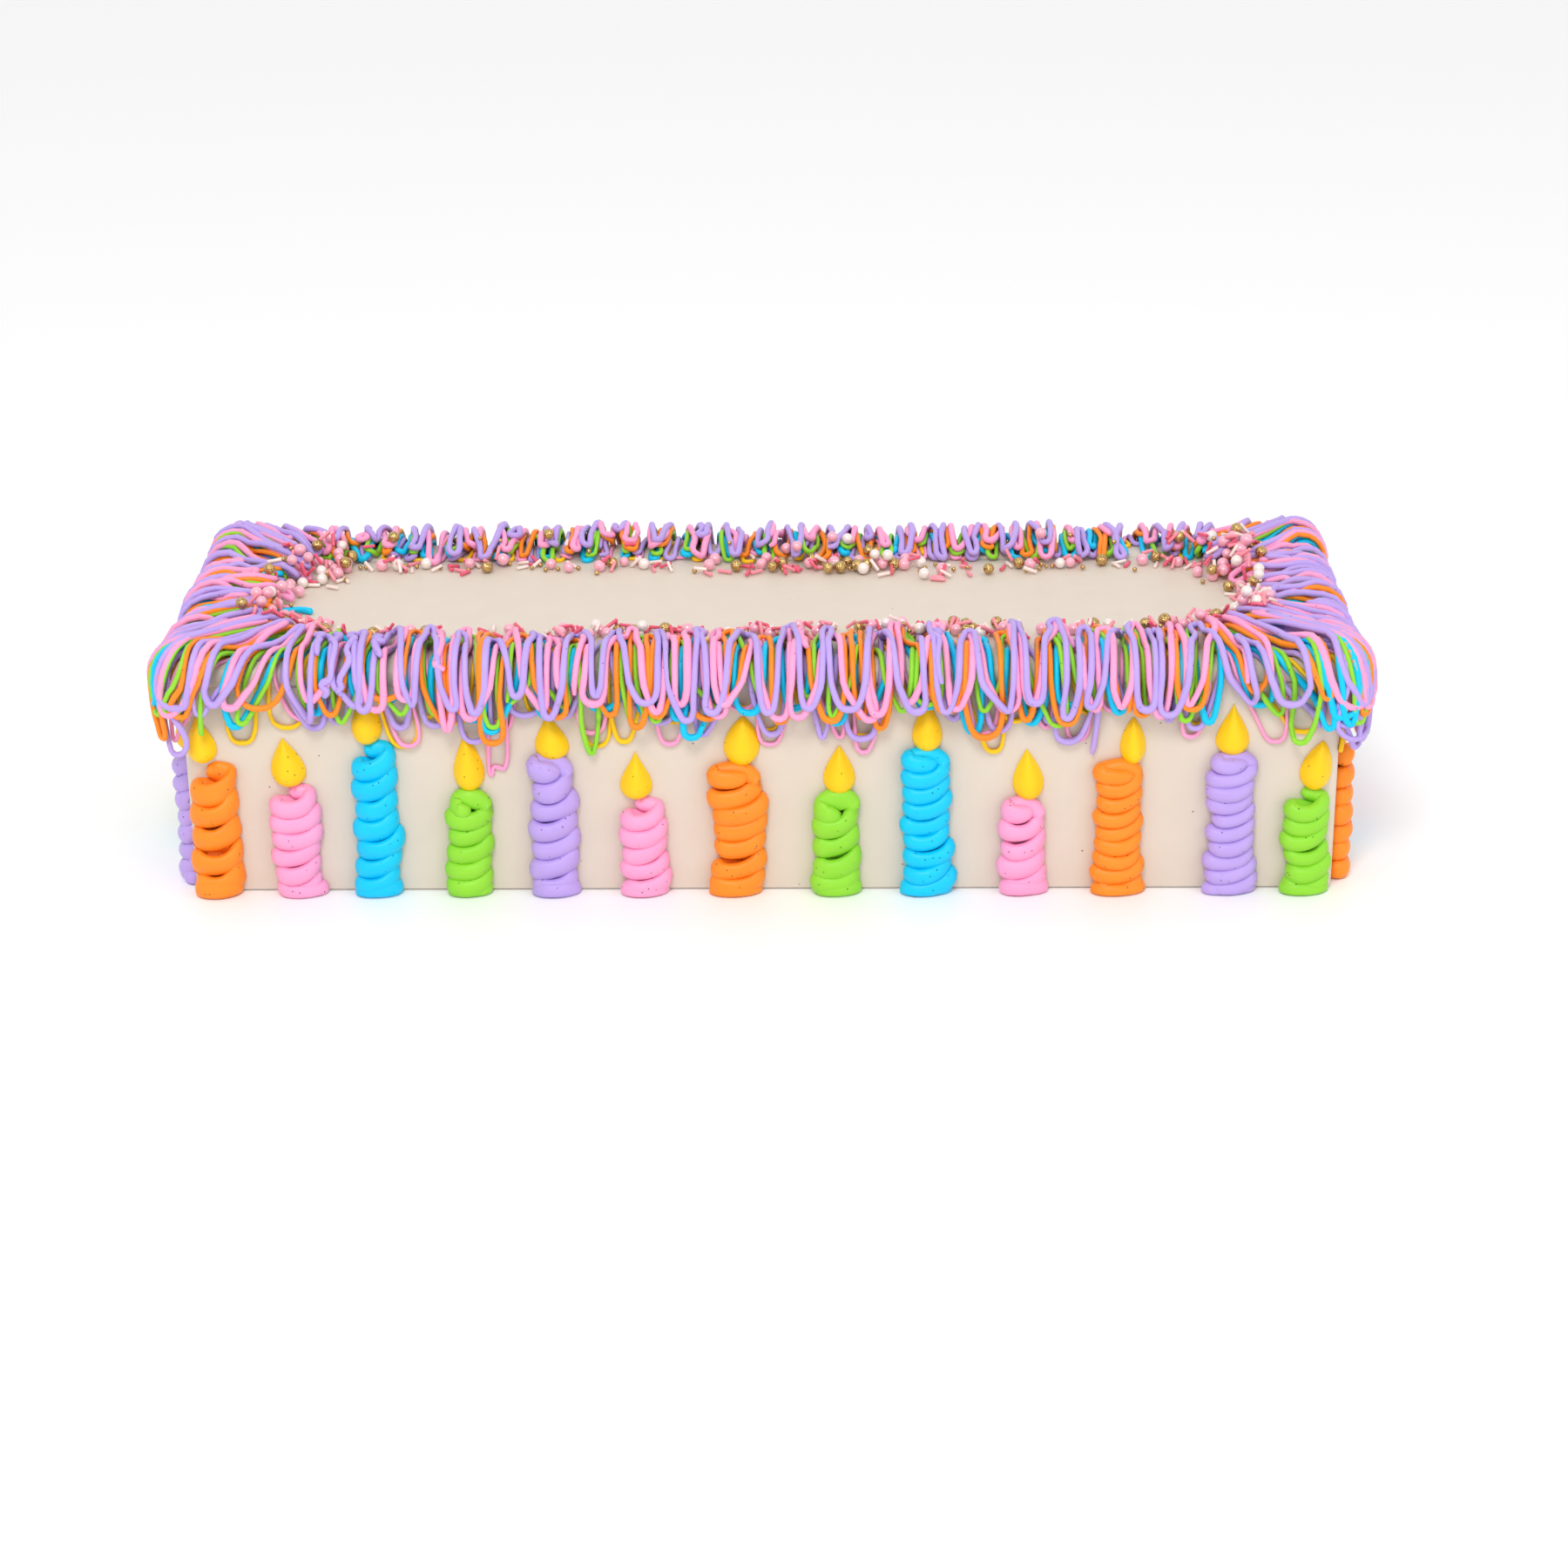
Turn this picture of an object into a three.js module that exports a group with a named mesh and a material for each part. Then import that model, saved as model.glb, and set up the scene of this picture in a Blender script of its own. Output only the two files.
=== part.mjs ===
// A birthday bar cake: a smooth block of buttercream, a ring of piped coil candles standing
// against its four walls, and a fringe of thin icing strings laid over the rim of its top.
// Millimetres, +Z up. The origin is the middle of the cake's flat underside; the long side
// with the candles that face the guests looks along -Y.

import * as THREE from 'three';

// ---- Driving dimensions -----------------------------------------------------------------

const CAKE_LENGTH = 482;       // half a sheet cake, iced
const CAKE_DEPTH = 155;
const CAKE_HEIGHT = 101;       // two layers, iced
const CORNER_RADIUS = 4;       // upright corners, scraped with a straight blade
const CORNER_STEPS = 3;
const TOP_EDGE_RADIUS = 3.5;
const FOOT_CHAMFER = 0.8;

const GAP = 0.3;               // between pieces that touch

const COIL_WIDTH = 20.6;       // a piped candle, across its turns
const COIL_PROUD = 9.6;        // how far it stands out of the wall
const COIL_CREASE = 0.82;      // width at the crease between two turns, over the width of a turn
const COIL_SAG = 2.6;          // a turn hangs lower in its middle than at its sides
const COIL_SLOPE = 1.1;        // and climbs from one side to the other

const FLAME_WIDTH = 14;
const FLAME_PROUD = 6.6;

const FRINGE_REACH = 29;       // how far the strings lie in over the top
const FRINGE_PILE = 11;        // their height on the top
const FRINGE_PROUD = 9;        // their thickness on the wall
const FRINGE_INNER_RADIUS = 26;// corners of the free part of the top
const FRINGE_HEM = 82;         // usual height of the lowest loops above the underside
const FRINGE_LONG_HEM = 76;    // height of the longer loops, which hang between candles
const FRINGE_STEP = 9.8;       // between its sections, half a bunch of loops
const POCKET = 4.4;            // room behind the strings that hang over a tall flame

const HALF_LENGTH = CAKE_LENGTH / 2;
const HALF_DEPTH = CAKE_DEPTH / 2;

const ICING = {
  white: '#ece2d8', orange: '#ff9c45', pink: '#f9a9d3', blue: '#18bfe6',
  green: '#97d94f', lavender: '#b9a0e2', yellow: '#ffd92e',
};

// The candles of each wall from left to right, as seen from outside: the colour, the place
// along the wall, the turns, the height of the coil and of the flame's tip, how far the tip
// leans to the right, and where it is known how wide the coil and the flame are and how far
// the flame stands to the right of the coil's middle.
const FRONT_CANDLES = [
  { colour: 'orange', at: -229.5, turns: 6, top: 61, tip: 80, lean: -2,
    wide: 20.8, flame: 12.6, aside: -3.3 },
  { colour: 'pink', at: -195.5, turns: 7, top: 50, tip: 70, lean: -2,
    wide: 20.6, flame: 14.7, aside: -1.7 },
  { colour: 'blue', at: -161.5, turns: 8, top: 69, tip: 90, lean: 0,
    wide: 20, flame: 12.6, aside: -2.3 },
  { colour: 'green', at: -122.5, turns: 7, top: 48, tip: 73, lean: -1,
    wide: 19.6, flame: 13, aside: 0.7 },
  { colour: 'lavender', at: -87, turns: 8, top: 62, tip: 81, lean: -2,
    wide: 20.6, flame: 14.3, aside: 0.6 },
  { colour: 'pink', at: -49.5, turns: 6, top: 44, tip: 64, lean: 0,
    wide: 20.6, flame: 13.6, aside: -2.7 },
  { colour: 'orange', at: -9.5, turns: 8, top: 59, tip: 79, lean: 1,
    wide: 22.2, flame: 14.9, aside: 1.4 },
  { colour: 'green', at: 31.5, turns: 6, top: 46, tip: 66, lean: 0,
    wide: 20.6, flame: 13.4, aside: 1.3 },
  { colour: 'blue', at: 69, turns: 9, top: 65, tip: 87, lean: 0,
    wide: 20.4, flame: 12.6, aside: 0.4 },
  { colour: 'pink', at: 110, turns: 6, top: 43, tip: 64, lean: -1,
    wide: 20, flame: 13.1, aside: 2 },
  { colour: 'orange', at: 150.5, turns: 9, top: 59, tip: 78, lean: 0,
    wide: 20.6, flame: 10.8, aside: 4.4 },
  { colour: 'lavender', at: 197, turns: 10, top: 63, tip: 84, lean: 0,
    wide: 21, flame: 14, aside: -0.9 },
  { colour: 'green', at: 228.5, turns: 7, top: 47, tip: 67, lean: 3,
    wide: 20.4, flame: 13.3, aside: 2.1 },
];
const RIGHT_CANDLES = [
  { colour: 'orange', at: -60, turns: 8, top: 60, tip: 80, lean: -1 },
  { colour: 'blue', at: -21, turns: 6, top: 46, tip: 67, lean: 1 },
  { colour: 'pink', at: 18, turns: 8, top: 61, tip: 82, lean: 0 },
  { colour: 'lavender', at: 57, turns: 7, top: 49, tip: 69, lean: -2 },
];
const BACK_CANDLES = [
  { colour: 'blue', at: -226, turns: 7, top: 47, tip: 67, lean: 1 },
  { colour: 'pink', at: -190, turns: 9, top: 64, tip: 84, lean: 0 },
  { colour: 'green', at: -152, turns: 6, top: 45, tip: 66, lean: -2 },
  { colour: 'orange', at: -115, turns: 8, top: 60, tip: 80, lean: 1 },
  { colour: 'lavender', at: -76, turns: 7, top: 48, tip: 68, lean: 2 },
  { colour: 'blue', at: -38, turns: 9, top: 66, tip: 86, lean: 0 },
  { colour: 'pink', at: 1, turns: 6, top: 44, tip: 65, lean: -1 },
  { colour: 'green', at: 39, turns: 8, top: 61, tip: 81, lean: 1 },
  { colour: 'orange', at: 78, turns: 7, top: 49, tip: 70, lean: -1 },
  { colour: 'lavender', at: 114, turns: 9, top: 63, tip: 84, lean: 0 },
  { colour: 'pink', at: 152, turns: 6, top: 45, tip: 65, lean: 2 },
  { colour: 'blue', at: 189, turns: 8, top: 60, tip: 80, lean: -1 },
  { colour: 'green', at: 227, turns: 7, top: 48, tip: 69, lean: 0 },
];
const LEFT_CANDLES = [
  { colour: 'pink', at: -57, turns: 7, top: 48, tip: 68, lean: 1 },
  { colour: 'green', at: -19, turns: 8, top: 61, tip: 81, lean: -1 },
  { colour: 'blue', at: 20, turns: 6, top: 45, tip: 66, lean: 0 },
  { colour: 'lavender', at: 60, turns: 8, top: 60, tip: 80, lean: 1 },
];

// Each wall: where its middle stands, which way it is turned, and its length.
const WALLS = [
  { name: 'front', x: 0, y: -HALF_DEPTH, turn: 0, length: CAKE_LENGTH, candles: FRONT_CANDLES },
  { name: 'right', x: HALF_LENGTH, y: 0, turn: 1, length: CAKE_DEPTH, candles: RIGHT_CANDLES },
  { name: 'back', x: 0, y: HALF_DEPTH, turn: 2, length: CAKE_LENGTH, candles: BACK_CANDLES },
  { name: 'left', x: -HALF_LENGTH, y: 0, turn: 3, length: CAKE_DEPTH, candles: LEFT_CANDLES },
];

// ---- Closed surfaces --------------------------------------------------------------------

function icing(colour) {
  return new THREE.MeshStandardMaterial({ color: ICING[colour], roughness: 0.45, metalness: 0 });
}

function volumeOf(points, faces) {
  let volume = 0;
  for (const [a, b, c] of faces) {
    volume += points[a].dot(new THREE.Vector3().crossVectors(points[b], points[c])) / 6;
  }
  return volume;
}

// A closed surface from points and faces, turned so that its faces point out.
function closedGeometry(points, faces) {
  const outward = volumeOf(points, faces) > 0;
  const index = faces.flatMap(([a, b, c]) => (outward ? [a, b, c] : [a, c, b]));
  const geometry = new THREE.BufferGeometry();
  geometry.setAttribute('position',
    new THREE.Float32BufferAttribute(points.flatMap((p) => [p.x, p.y, p.z]), 3));
  geometry.setIndex(index);
  geometry.computeVertexNormals();
  return geometry;
}

// A skin over a row of outlines with the same number of points. An open row is capped at
// both ends, where a last outline of one point makes a tip; a ring joins its last to its first.
function skin(outlines, isRing = false) {
  const points = outlines.flat();
  const count = outlines[0].length;
  const faces = [];
  const tip = outlines.at(-1).length === 1;
  const spans = isRing ? outlines.length : outlines.length - 1;
  for (let i = 0; i < spans; i += 1) {
    const here = i * count;
    const next = ((i + 1) % outlines.length) * count;
    const toTip = tip && i === spans - 1;
    for (let j = 0; j < count; j += 1) {
      const k = (j + 1) % count;
      if (toTip) {
        faces.push([here + j, here + k, next]);
      } else {
        faces.push([here + j, here + k, next + k], [here + j, next + k, next + j]);
      }
    }
  }
  if (!isRing) {
    const last = (outlines.length - 1) * count;
    for (let j = 1; j < count - 1; j += 1) {
      faces.push([0, j + 1, j]);
      if (!tip) faces.push([last, last + j, last + j + 1]);
    }
  }
  return closedGeometry(points, faces);
}

// A repeatable uneven number between -1 and 1 for the nth of a row of pieces.
function uneven(n, row) {
  const wave = Math.sin(n * 12.9898 + row * 78.233) * 43758.5453;
  return 2 * (wave - Math.floor(wave)) - 1;
}

// ---- The block of cake ------------------------------------------------------------------

// A rectangle with round corners, anticlockwise, at one height.
function roundedRectangle(halfLength, halfDepth, radius, z) {
  const outline = [];
  const corners = [[1, -1, -90], [1, 1, 0], [-1, 1, 90], [-1, -1, 180]];
  for (const [signX, signY, start] of corners) {
    for (let i = 0; i <= CORNER_STEPS; i += 1) {
      const angle = THREE.MathUtils.degToRad(start + (90 * i) / CORNER_STEPS);
      outline.push(new THREE.Vector3(
        signX * (halfLength - radius) + radius * Math.cos(angle),
        signY * (halfDepth - radius) + radius * Math.sin(angle),
        z,
      ));
    }
  }
  return outline;
}

function cakeBody() {
  const steps = 3;
  const at = (inset, z) => roundedRectangle(
    HALF_LENGTH - inset, HALF_DEPTH - inset, CORNER_RADIUS - inset, z,
  );
  const outlines = [at(FOOT_CHAMFER, 0), at(0, FOOT_CHAMFER)];
  for (let i = 0; i <= steps; i += 1) {
    const angle = (Math.PI / 2) * (i / steps);
    outlines.push(at(
      TOP_EDGE_RADIUS * (1 - Math.cos(angle)),
      CAKE_HEIGHT - TOP_EDGE_RADIUS * (1 - Math.sin(angle)),
    ));
  }
  const body = new THREE.Mesh(skin(outlines), icing('white'));
  body.name = 'cake_body';
  return body;
}

// ---- A piped candle: a coil of icing, and a flame ---------------------------------------

// Half an ellipse against the wall, its middle sagging: +X to the right, -Y out of the wall.
function halfRound(centre, halfWidth, proud, z, sag, slope) {
  const steps = 4;
  const outline = [];
  for (let i = 0; i <= steps; i += 1) {
    const angle = (Math.PI * i) / steps;
    outline.push(new THREE.Vector3(
      centre + halfWidth * Math.cos(angle),
      -GAP - proud * Math.sin(angle),
      z - sag * Math.sin(angle) + slope * Math.cos(angle),
    ));
  }
  return outline;
}

// The outlines of a coil, from the board up: a crease and a full turn, over and over.
function coilOutlines(candle, order) {
  const outlines = [];
  const rise = candle.top / candle.turns;
  const wide = candle.wide ?? COIL_WIDTH;
  for (let turn = 0; turn < candle.turns; turn += 1) {
    const taper = 1.06 - 0.14 * (turn / candle.turns);
    const full = (wide / 2) * taper * (1 + 0.05 * uneven(turn, order));
    const sway = 0.8 * uneven(turn + 40, order);
    const grip = turn === 0 ? 0 : 1;
    outlines.push(
      halfRound(sway, full * (grip ? COIL_CREASE : 0.92), COIL_PROUD * (grip ? 0.74 : 0.9),
        GAP + turn * rise, COIL_SAG * grip, COIL_SLOPE * grip),
      halfRound(sway, full, COIL_PROUD * (1 + 0.04 * uneven(turn + 80, order)),
        GAP + (turn + 0.5) * rise, COIL_SAG * 0.8 * grip, COIL_SLOPE * grip),
    );
  }
  const last = uneven(candle.turns, order) * 0.8;
  outlines.push(halfRound(last, wide * 0.34, COIL_PROUD * 0.66, candle.top, 0, 0));
  return outlines;
}

// The outlines of a flame: a drop with a soft ridge, flat at the back, which ends in a tip.
const FLAME_SHAPE = [
  { up: 0, width: 0.56, proud: 0.7 },
  { up: 0.16, width: 0.9, proud: 0.96 },
  { up: 0.36, width: 1, proud: 1 },
  { up: 0.6, width: 0.74, proud: 0.8 },
  { up: 0.82, width: 0.36, proud: 0.5 },
];

function flameOutlines(candle) {
  const foot = candle.top + GAP;
  const rise = candle.tip - foot;
  const wide = candle.flame ?? FLAME_WIDTH;
  const outlines = FLAME_SHAPE.map(({ up, width, proud }) => halfRound(
    candle.lean * up * up, (wide / 2) * width, FLAME_PROUD * proud,
    foot + rise * up, 0, 0,
  ));
  outlines.push([new THREE.Vector3(candle.lean, -GAP - 1, candle.tip)]);
  return outlines;
}

function piece(name, geometry, colour, at) {
  const mesh = new THREE.Mesh(geometry, icing(colour));
  mesh.name = name;
  mesh.position.x = at;
  return mesh;
}

function flamePlace(candle) {
  return candle.at + (candle.aside ?? 0);
}

// A wall's candles. Those of the back wall are one piece each, coil and flame together.
function wallOfCandles(wall, wallOrder) {
  const group = new THREE.Group();
  group.position.set(wall.x, wall.y, 0);
  group.rotation.z = (wall.turn * Math.PI) / 2;
  wall.candles.forEach((candle, i) => {
    const number = String(i + 1).padStart(2, '0');
    const order = wallOrder * 20 + i;
    const coil = coilOutlines(candle, order);
    const flame = flameOutlines(candle);
    const label = `${wall.name}_${number}_${candle.colour}`;
    if (wall.name === 'back') {
      group.add(piece(`candle_${label}`, skin([...coil, ...flame]), candle.colour, candle.at));
    } else {
      group.add(
        piece(`candle_${label}`, skin(coil), candle.colour, candle.at),
        piece(`flame_${wall.name}_${number}`, skin(flame), 'yellow', flamePlace(candle)),
      );
    }
  });
  return group;
}

// ---- The fringe of icing strings --------------------------------------------------------

const ARC = (CORNER_RADIUS * Math.PI) / 2;
const FAN = FRINGE_REACH + FRINGE_INNER_RADIUS - CORNER_RADIUS;   // rim beside a corner

// A place on the rim above a wall: the point itself, the way out of the wall, and the inner
// end of the strings that cross the rim there. The place is given along the wall from its
// middle and, past its right end, by the angle round the corner. At the corners the strings
// fan out from a round inner end.
function rimPlace(wall, along, bend) {
  const innerHalf = wall.length / 2 - FRINGE_REACH - FRINGE_INNER_RADIUS;
  const out = new THREE.Vector2(Math.sin(bend), -Math.cos(bend));
  const rim = new THREE.Vector2(along, CORNER_RADIUS).addScaledVector(out, CORNER_RADIUS);
  const past = Math.max(Math.abs(along) - innerHalf, 0) + bend * CORNER_RADIUS;
  const turn = Math.sign(along) * (Math.PI / 2) * (past / (2 * FAN + ARC));
  const inner = new THREE.Vector2(
    THREE.MathUtils.clamp(along, -innerHalf, innerHalf) + FRINGE_INNER_RADIUS * Math.sin(turn),
    FRINGE_REACH + FRINGE_INNER_RADIUS * (1 - Math.cos(turn)),
  );
  const middle = new THREE.Vector2(wall.x, wall.y);
  const placed = (v) => v.rotateAround(new THREE.Vector2(), (wall.turn * Math.PI) / 2);
  return {
    wall,
    along,
    isCorner: bend > 0,
    rim: placed(rim).add(middle),
    out: placed(out),
    inner: placed(inner).add(middle),
  };
}

// The places of the fringe's sections above a wall and round the corner at its right end.
function wallPlaces(wall) {
  const straight = wall.length - 2 * CORNER_RADIUS;
  const steps = 2 * Math.round(straight / FRINGE_STEP / 2);
  const places = [];
  for (let i = 0; i < steps; i += 1) {
    places.push(rimPlace(wall, straight * (i / steps - 0.5), 0));
  }
  for (let i = 0; i < CORNER_STEPS; i += 1) {
    places.push(rimPlace(wall, straight / 2, (Math.PI / 2) * (i / CORNER_STEPS)));
  }
  return places;
}

// The height of the hem, and the pocket behind it that clears a flame's tip. Where the
// fringe hangs round a corner it keeps the height of a plain loop.
function hemAt(place, station) {
  if (place.isCorner) return { hem: FRINGE_HEM, pocketTop: null };
  const isLoop = station % 2 === 0;
  let hem = FRINGE_HEM + 1.5 * uneven(station, 300) + (isLoop ? -1.5 : 1.5);
  let pocketTop = null;
  const nearest = Math.min(...place.wall.candles.map((c) => Math.abs(c.at - place.along)));
  if (nearest > 15 && isLoop && uneven(station, 301) > -0.2) {
    hem = FRINGE_LONG_HEM + 1.5 * uneven(station, 302);
  }
  for (const candle of place.wall.candles) {
    const reach = Math.abs(flamePlace(candle) - place.along);
    if (reach < FLAME_WIDTH && candle.tip + 2 > hem) {
      hem = Math.max(hem, candle.tip - 5);
      pocketTop = Math.max(pocketTop ?? 0, candle.tip + 2);
    }
  }
  return { hem, pocketTop };
}

// The section of the fringe at a station, from its inner end over the rim to its hem.
function fringeOutline(place, station) {
  const { hem, pocketTop } = hemAt(place, station);
  const calm = place.isCorner ? 0 : 1;
  const pile = FRINGE_PILE * (1 + 0.09 * calm * uneven(station, 303));
  const proud = FRINGE_PROUD + 0.8 * calm * uneven(station, 304);
  const shorter = 0.08 * (1 + calm * uneven(station, 305));
  const onTop = (share, height) => {
    const spot = place.inner.clone().lerp(place.rim, share);
    return new THREE.Vector3(spot.x, spot.y, CAKE_HEIGHT + height);
  };
  const onWall = (distance, z) => {
    const spot = place.rim.clone().addScaledVector(place.out, distance);
    return new THREE.Vector3(spot.x, spot.y, z);
  };
  const pocket = pocketTop === null ? 0 : POCKET;
  return [
    onTop(shorter, GAP),
    onTop(shorter + 0.06, 0.62 * pile),
    onTop(shorter + 0.45, pile),
    onWall(2.5, CAKE_HEIGHT + 0.72 * pile),
    onWall(proud, CAKE_HEIGHT - 4),
    onWall(proud + pocket * 0.5, hem + 1),
    onWall(pocket + GAP, hem),
    onWall(GAP, pocketTop ?? hem + 3),
    onWall(GAP, CAKE_HEIGHT + GAP),
  ];
}

function stringFringe() {
  const outlines = WALLS.flatMap(wallPlaces).map(fringeOutline);
  const fringe = new THREE.Mesh(skin(outlines, true), icing('lavender'));
  fringe.name = 'string_fringe';
  return fringe;
}

// ---- The whole cake ---------------------------------------------------------------------

const cake = new THREE.Group();
cake.add(cakeBody(), stringFringe());
WALLS.forEach((wall, i) => cake.add(wallOfCandles(wall, i)));

export default cake;
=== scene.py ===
"""A birthday bar cake, iced in smooth white buttercream, with coil candles piped on its four
walls, a fringe of thin icing strings laid over its rim, and sugar pearls, gold beads, sugar
stars and sugar sticks scattered along the strings' inner ends.

Lengths in the functions below are millimetres, and MM turns them to the scene's metres.
"""

import math
from types import SimpleNamespace

import bpy
import numpy as np
from mathutils import Matrix, Vector


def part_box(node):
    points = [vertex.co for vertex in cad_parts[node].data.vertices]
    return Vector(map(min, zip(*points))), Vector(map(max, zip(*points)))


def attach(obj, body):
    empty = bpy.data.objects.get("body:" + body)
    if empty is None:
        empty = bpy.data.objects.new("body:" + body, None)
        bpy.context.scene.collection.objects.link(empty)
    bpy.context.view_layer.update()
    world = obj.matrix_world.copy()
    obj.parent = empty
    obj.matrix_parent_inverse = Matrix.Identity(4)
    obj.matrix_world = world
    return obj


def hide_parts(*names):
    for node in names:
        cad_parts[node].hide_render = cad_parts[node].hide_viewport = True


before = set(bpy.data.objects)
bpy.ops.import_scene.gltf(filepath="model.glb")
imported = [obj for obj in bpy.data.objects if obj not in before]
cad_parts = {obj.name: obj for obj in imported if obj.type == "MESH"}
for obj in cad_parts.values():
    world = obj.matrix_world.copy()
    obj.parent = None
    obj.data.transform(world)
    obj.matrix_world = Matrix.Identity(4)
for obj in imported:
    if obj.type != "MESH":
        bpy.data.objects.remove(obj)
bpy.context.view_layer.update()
MM = 0.001

# ---- What the frame gives ----


def node_box(node):
    """A node's lowest and highest corner, in millimetres."""
    low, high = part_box(node)
    return np.array(low) / MM, np.array(high) / MM


CAKE_LOW, CAKE_HIGH = node_box("cake_body")
HALF_LENGTH, HALF_DEPTH, CAKE_HEIGHT = CAKE_HIGH
CORNER_RADIUS = 4.0      # the block's upright corners
EDGE_RADIUS = 3.5        # its top edge
FRINGE_REACH = 29.0      # from the rim to the strings' inner ends
INNER_RADIUS = 26.0      # how the line of inner ends bends at a corner
BACK_FLAME_WIDE = 14.0
BACK_FLAME_HIGH = 20.5

# Each wall: the middle of its foot, the quarter turns from the front wall, and its length.
WALLS = {
    "front": ((0.0, -HALF_DEPTH), 0, 2 * HALF_LENGTH),
    "right": ((HALF_LENGTH, 0.0), 1, 2 * HALF_DEPTH),
    "back": ((0.0, HALF_DEPTH), 2, 2 * HALF_LENGTH),
    "left": ((-HALF_LENGTH, 0.0), 3, 2 * HALF_DEPTH),
}
FRONT, RIGHT, BACK, LEFT = range(len(WALLS))


def wall_matrix(wall):
    """Turns a wall's own frame, +X to the right and -Y out of the wall, to the cake's."""
    (x, y), quarter, _ = WALLS[wall]
    return Matrix.Translation((x * MM, y * MM, 0)) @ Matrix.Rotation(quarter * math.pi / 2, 4, "Z")


# ---- Small helpers ----


def linear(hex_colour):
    """An sRGB hex colour as linear red, green, blue and full alpha."""
    parts = [int(hex_colour[i:i + 2], 16) / 255 for i in (1, 3, 5)]
    return (*(c / 12.92 if c <= 0.04045 else ((c + 0.055) / 1.055) ** 2.4 for c in parts), 1.0)


def only(obj):
    """Selects this object and nothing else, and makes it the active one."""
    bpy.ops.object.select_all(action="DESELECT")
    obj.select_set(True)
    bpy.context.view_layer.objects.active = obj


def add_modifier(obj, kind, **settings):
    """Adds a modifier with its settings and applies it."""
    modifier = obj.modifiers.new(kind.title(), kind)
    for name, value in settings.items():
        setattr(modifier, name, value)
    only(obj)
    bpy.ops.object.modifier_apply(modifier=modifier.name)


def settle(obj):
    """Puts a finished object's place and turn into its mesh."""
    only(obj)
    bpy.ops.object.transform_apply(location=True, rotation=True, scale=True)


def hand_over(obj, name, material, node):
    """Names a finished piece, gives it its material and ties it to the frame."""
    obj.name = name
    obj.data.name = name
    obj.data.materials.clear()
    obj.data.materials.append(material)
    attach(obj, "root")
    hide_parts(node)


def start_from(add_primitive, **settings):
    """A primitive, added while nothing else is selected."""
    bpy.ops.object.select_all(action="DESELECT")
    add_primitive(**settings)
    return bpy.context.object


def new_object(name, data):
    """An object for a mesh, a curve, a light or a camera, linked into the scene."""
    obj = bpy.data.objects.new(name, data)
    bpy.context.scene.collection.objects.link(obj)
    return obj


def mesh_object(name, points, faces):
    """A mesh object from points in millimetres and faces."""
    mesh = bpy.data.meshes.new(name)
    mesh.from_pydata((np.asarray(points) * MM).tolist(), [], faces)
    return new_object(name, mesh)


def new_curve(name, **settings):
    curve = bpy.data.curves.new(name, "CURVE")
    for key, value in settings.items():
        setattr(curve, key, value)
    return curve


def curve_as_mesh(curve):
    """A finished curve, turned to a mesh object."""
    only(new_object(curve.name, curve))
    bpy.ops.object.convert(target="MESH")
    return bpy.context.object


def shade_smooth(obj):
    only(obj)
    bpy.ops.object.shade_smooth()


def shade_by_angle(obj, degrees):
    """Smooth faces, with sharp edges where they meet at more than an angle."""
    only(obj)
    bpy.ops.object.shade_smooth_by_angle(angle=math.radians(degrees))


# ---- Materials ----


def new_material(name, **sockets):
    """A material, its nodes and its shader, with the shader's own sockets set."""
    material = bpy.data.materials.new(name)
    material.use_nodes = True
    tree = material.node_tree
    shader = tree.nodes["Principled BSDF"]
    for key, value in sockets.items():
        shader.inputs[key.replace("_", " ")].default_value = value
    return material, tree, shader


def add(tree, kind, links=None, **settings):
    """Adds a node: settings set its properties or, by input name, its sockets; links join
    an input to another node's output."""
    node = tree.nodes.new(kind)
    for key, value in settings.items():
        if hasattr(node, key):
            setattr(node, key, value)
        else:
            node.inputs[key.replace("_", " ")].default_value = value
    for key, source in (links or {}).items():
        tree.links.new(source, node.inputs[key])
    return node


def tones_in(tree, place, light, shade, size, detail=2.0):
    """Two tones in soft clouds of a size in millimetres."""
    cloud = add(tree, "ShaderNodeTexNoise", {"Vector": place}, Scale=1000 / size, Detail=detail)
    tone = add(tree, "ShaderNodeMix", {"Factor": cloud.outputs["Fac"]}, data_type="RGBA",
               A=linear(shade), B=linear(light))
    return tone.outputs["Result"]


def pits_in(tree, place, spacing, size, share):
    """Burst air bubbles: 1 in a pit and 0 outside, spacing and size in millimetres. The mask dents
    the pits and also darkens them with painted shade.
    """
    cells = add(tree, "ShaderNodeTexVoronoi", {"Vector": place}, Scale=1000 / spacing)
    depth = add(tree, "ShaderNodeMapRange", {"Value": cells.outputs["Distance"]}, clamp=True,
                From_Min=size / spacing, From_Max=0.35 * size / spacing)
    picked = add(tree, "ShaderNodeSeparateColor", {"Color": cells.outputs["Color"]})
    chosen = add(tree, "ShaderNodeMath", {0: picked.outputs["Red"]}, operation="LESS_THAN")
    chosen.inputs[1].default_value = share
    both = add(tree, "ShaderNodeMath",
               {0: depth.outputs["Result"], 1: chosen.outputs["Value"]}, operation="MULTIPLY")
    return both.outputs["Value"]


SCRAPER_STREAK = 100 / 26    # the streaks' size in millimetres, before they are stretched


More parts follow.
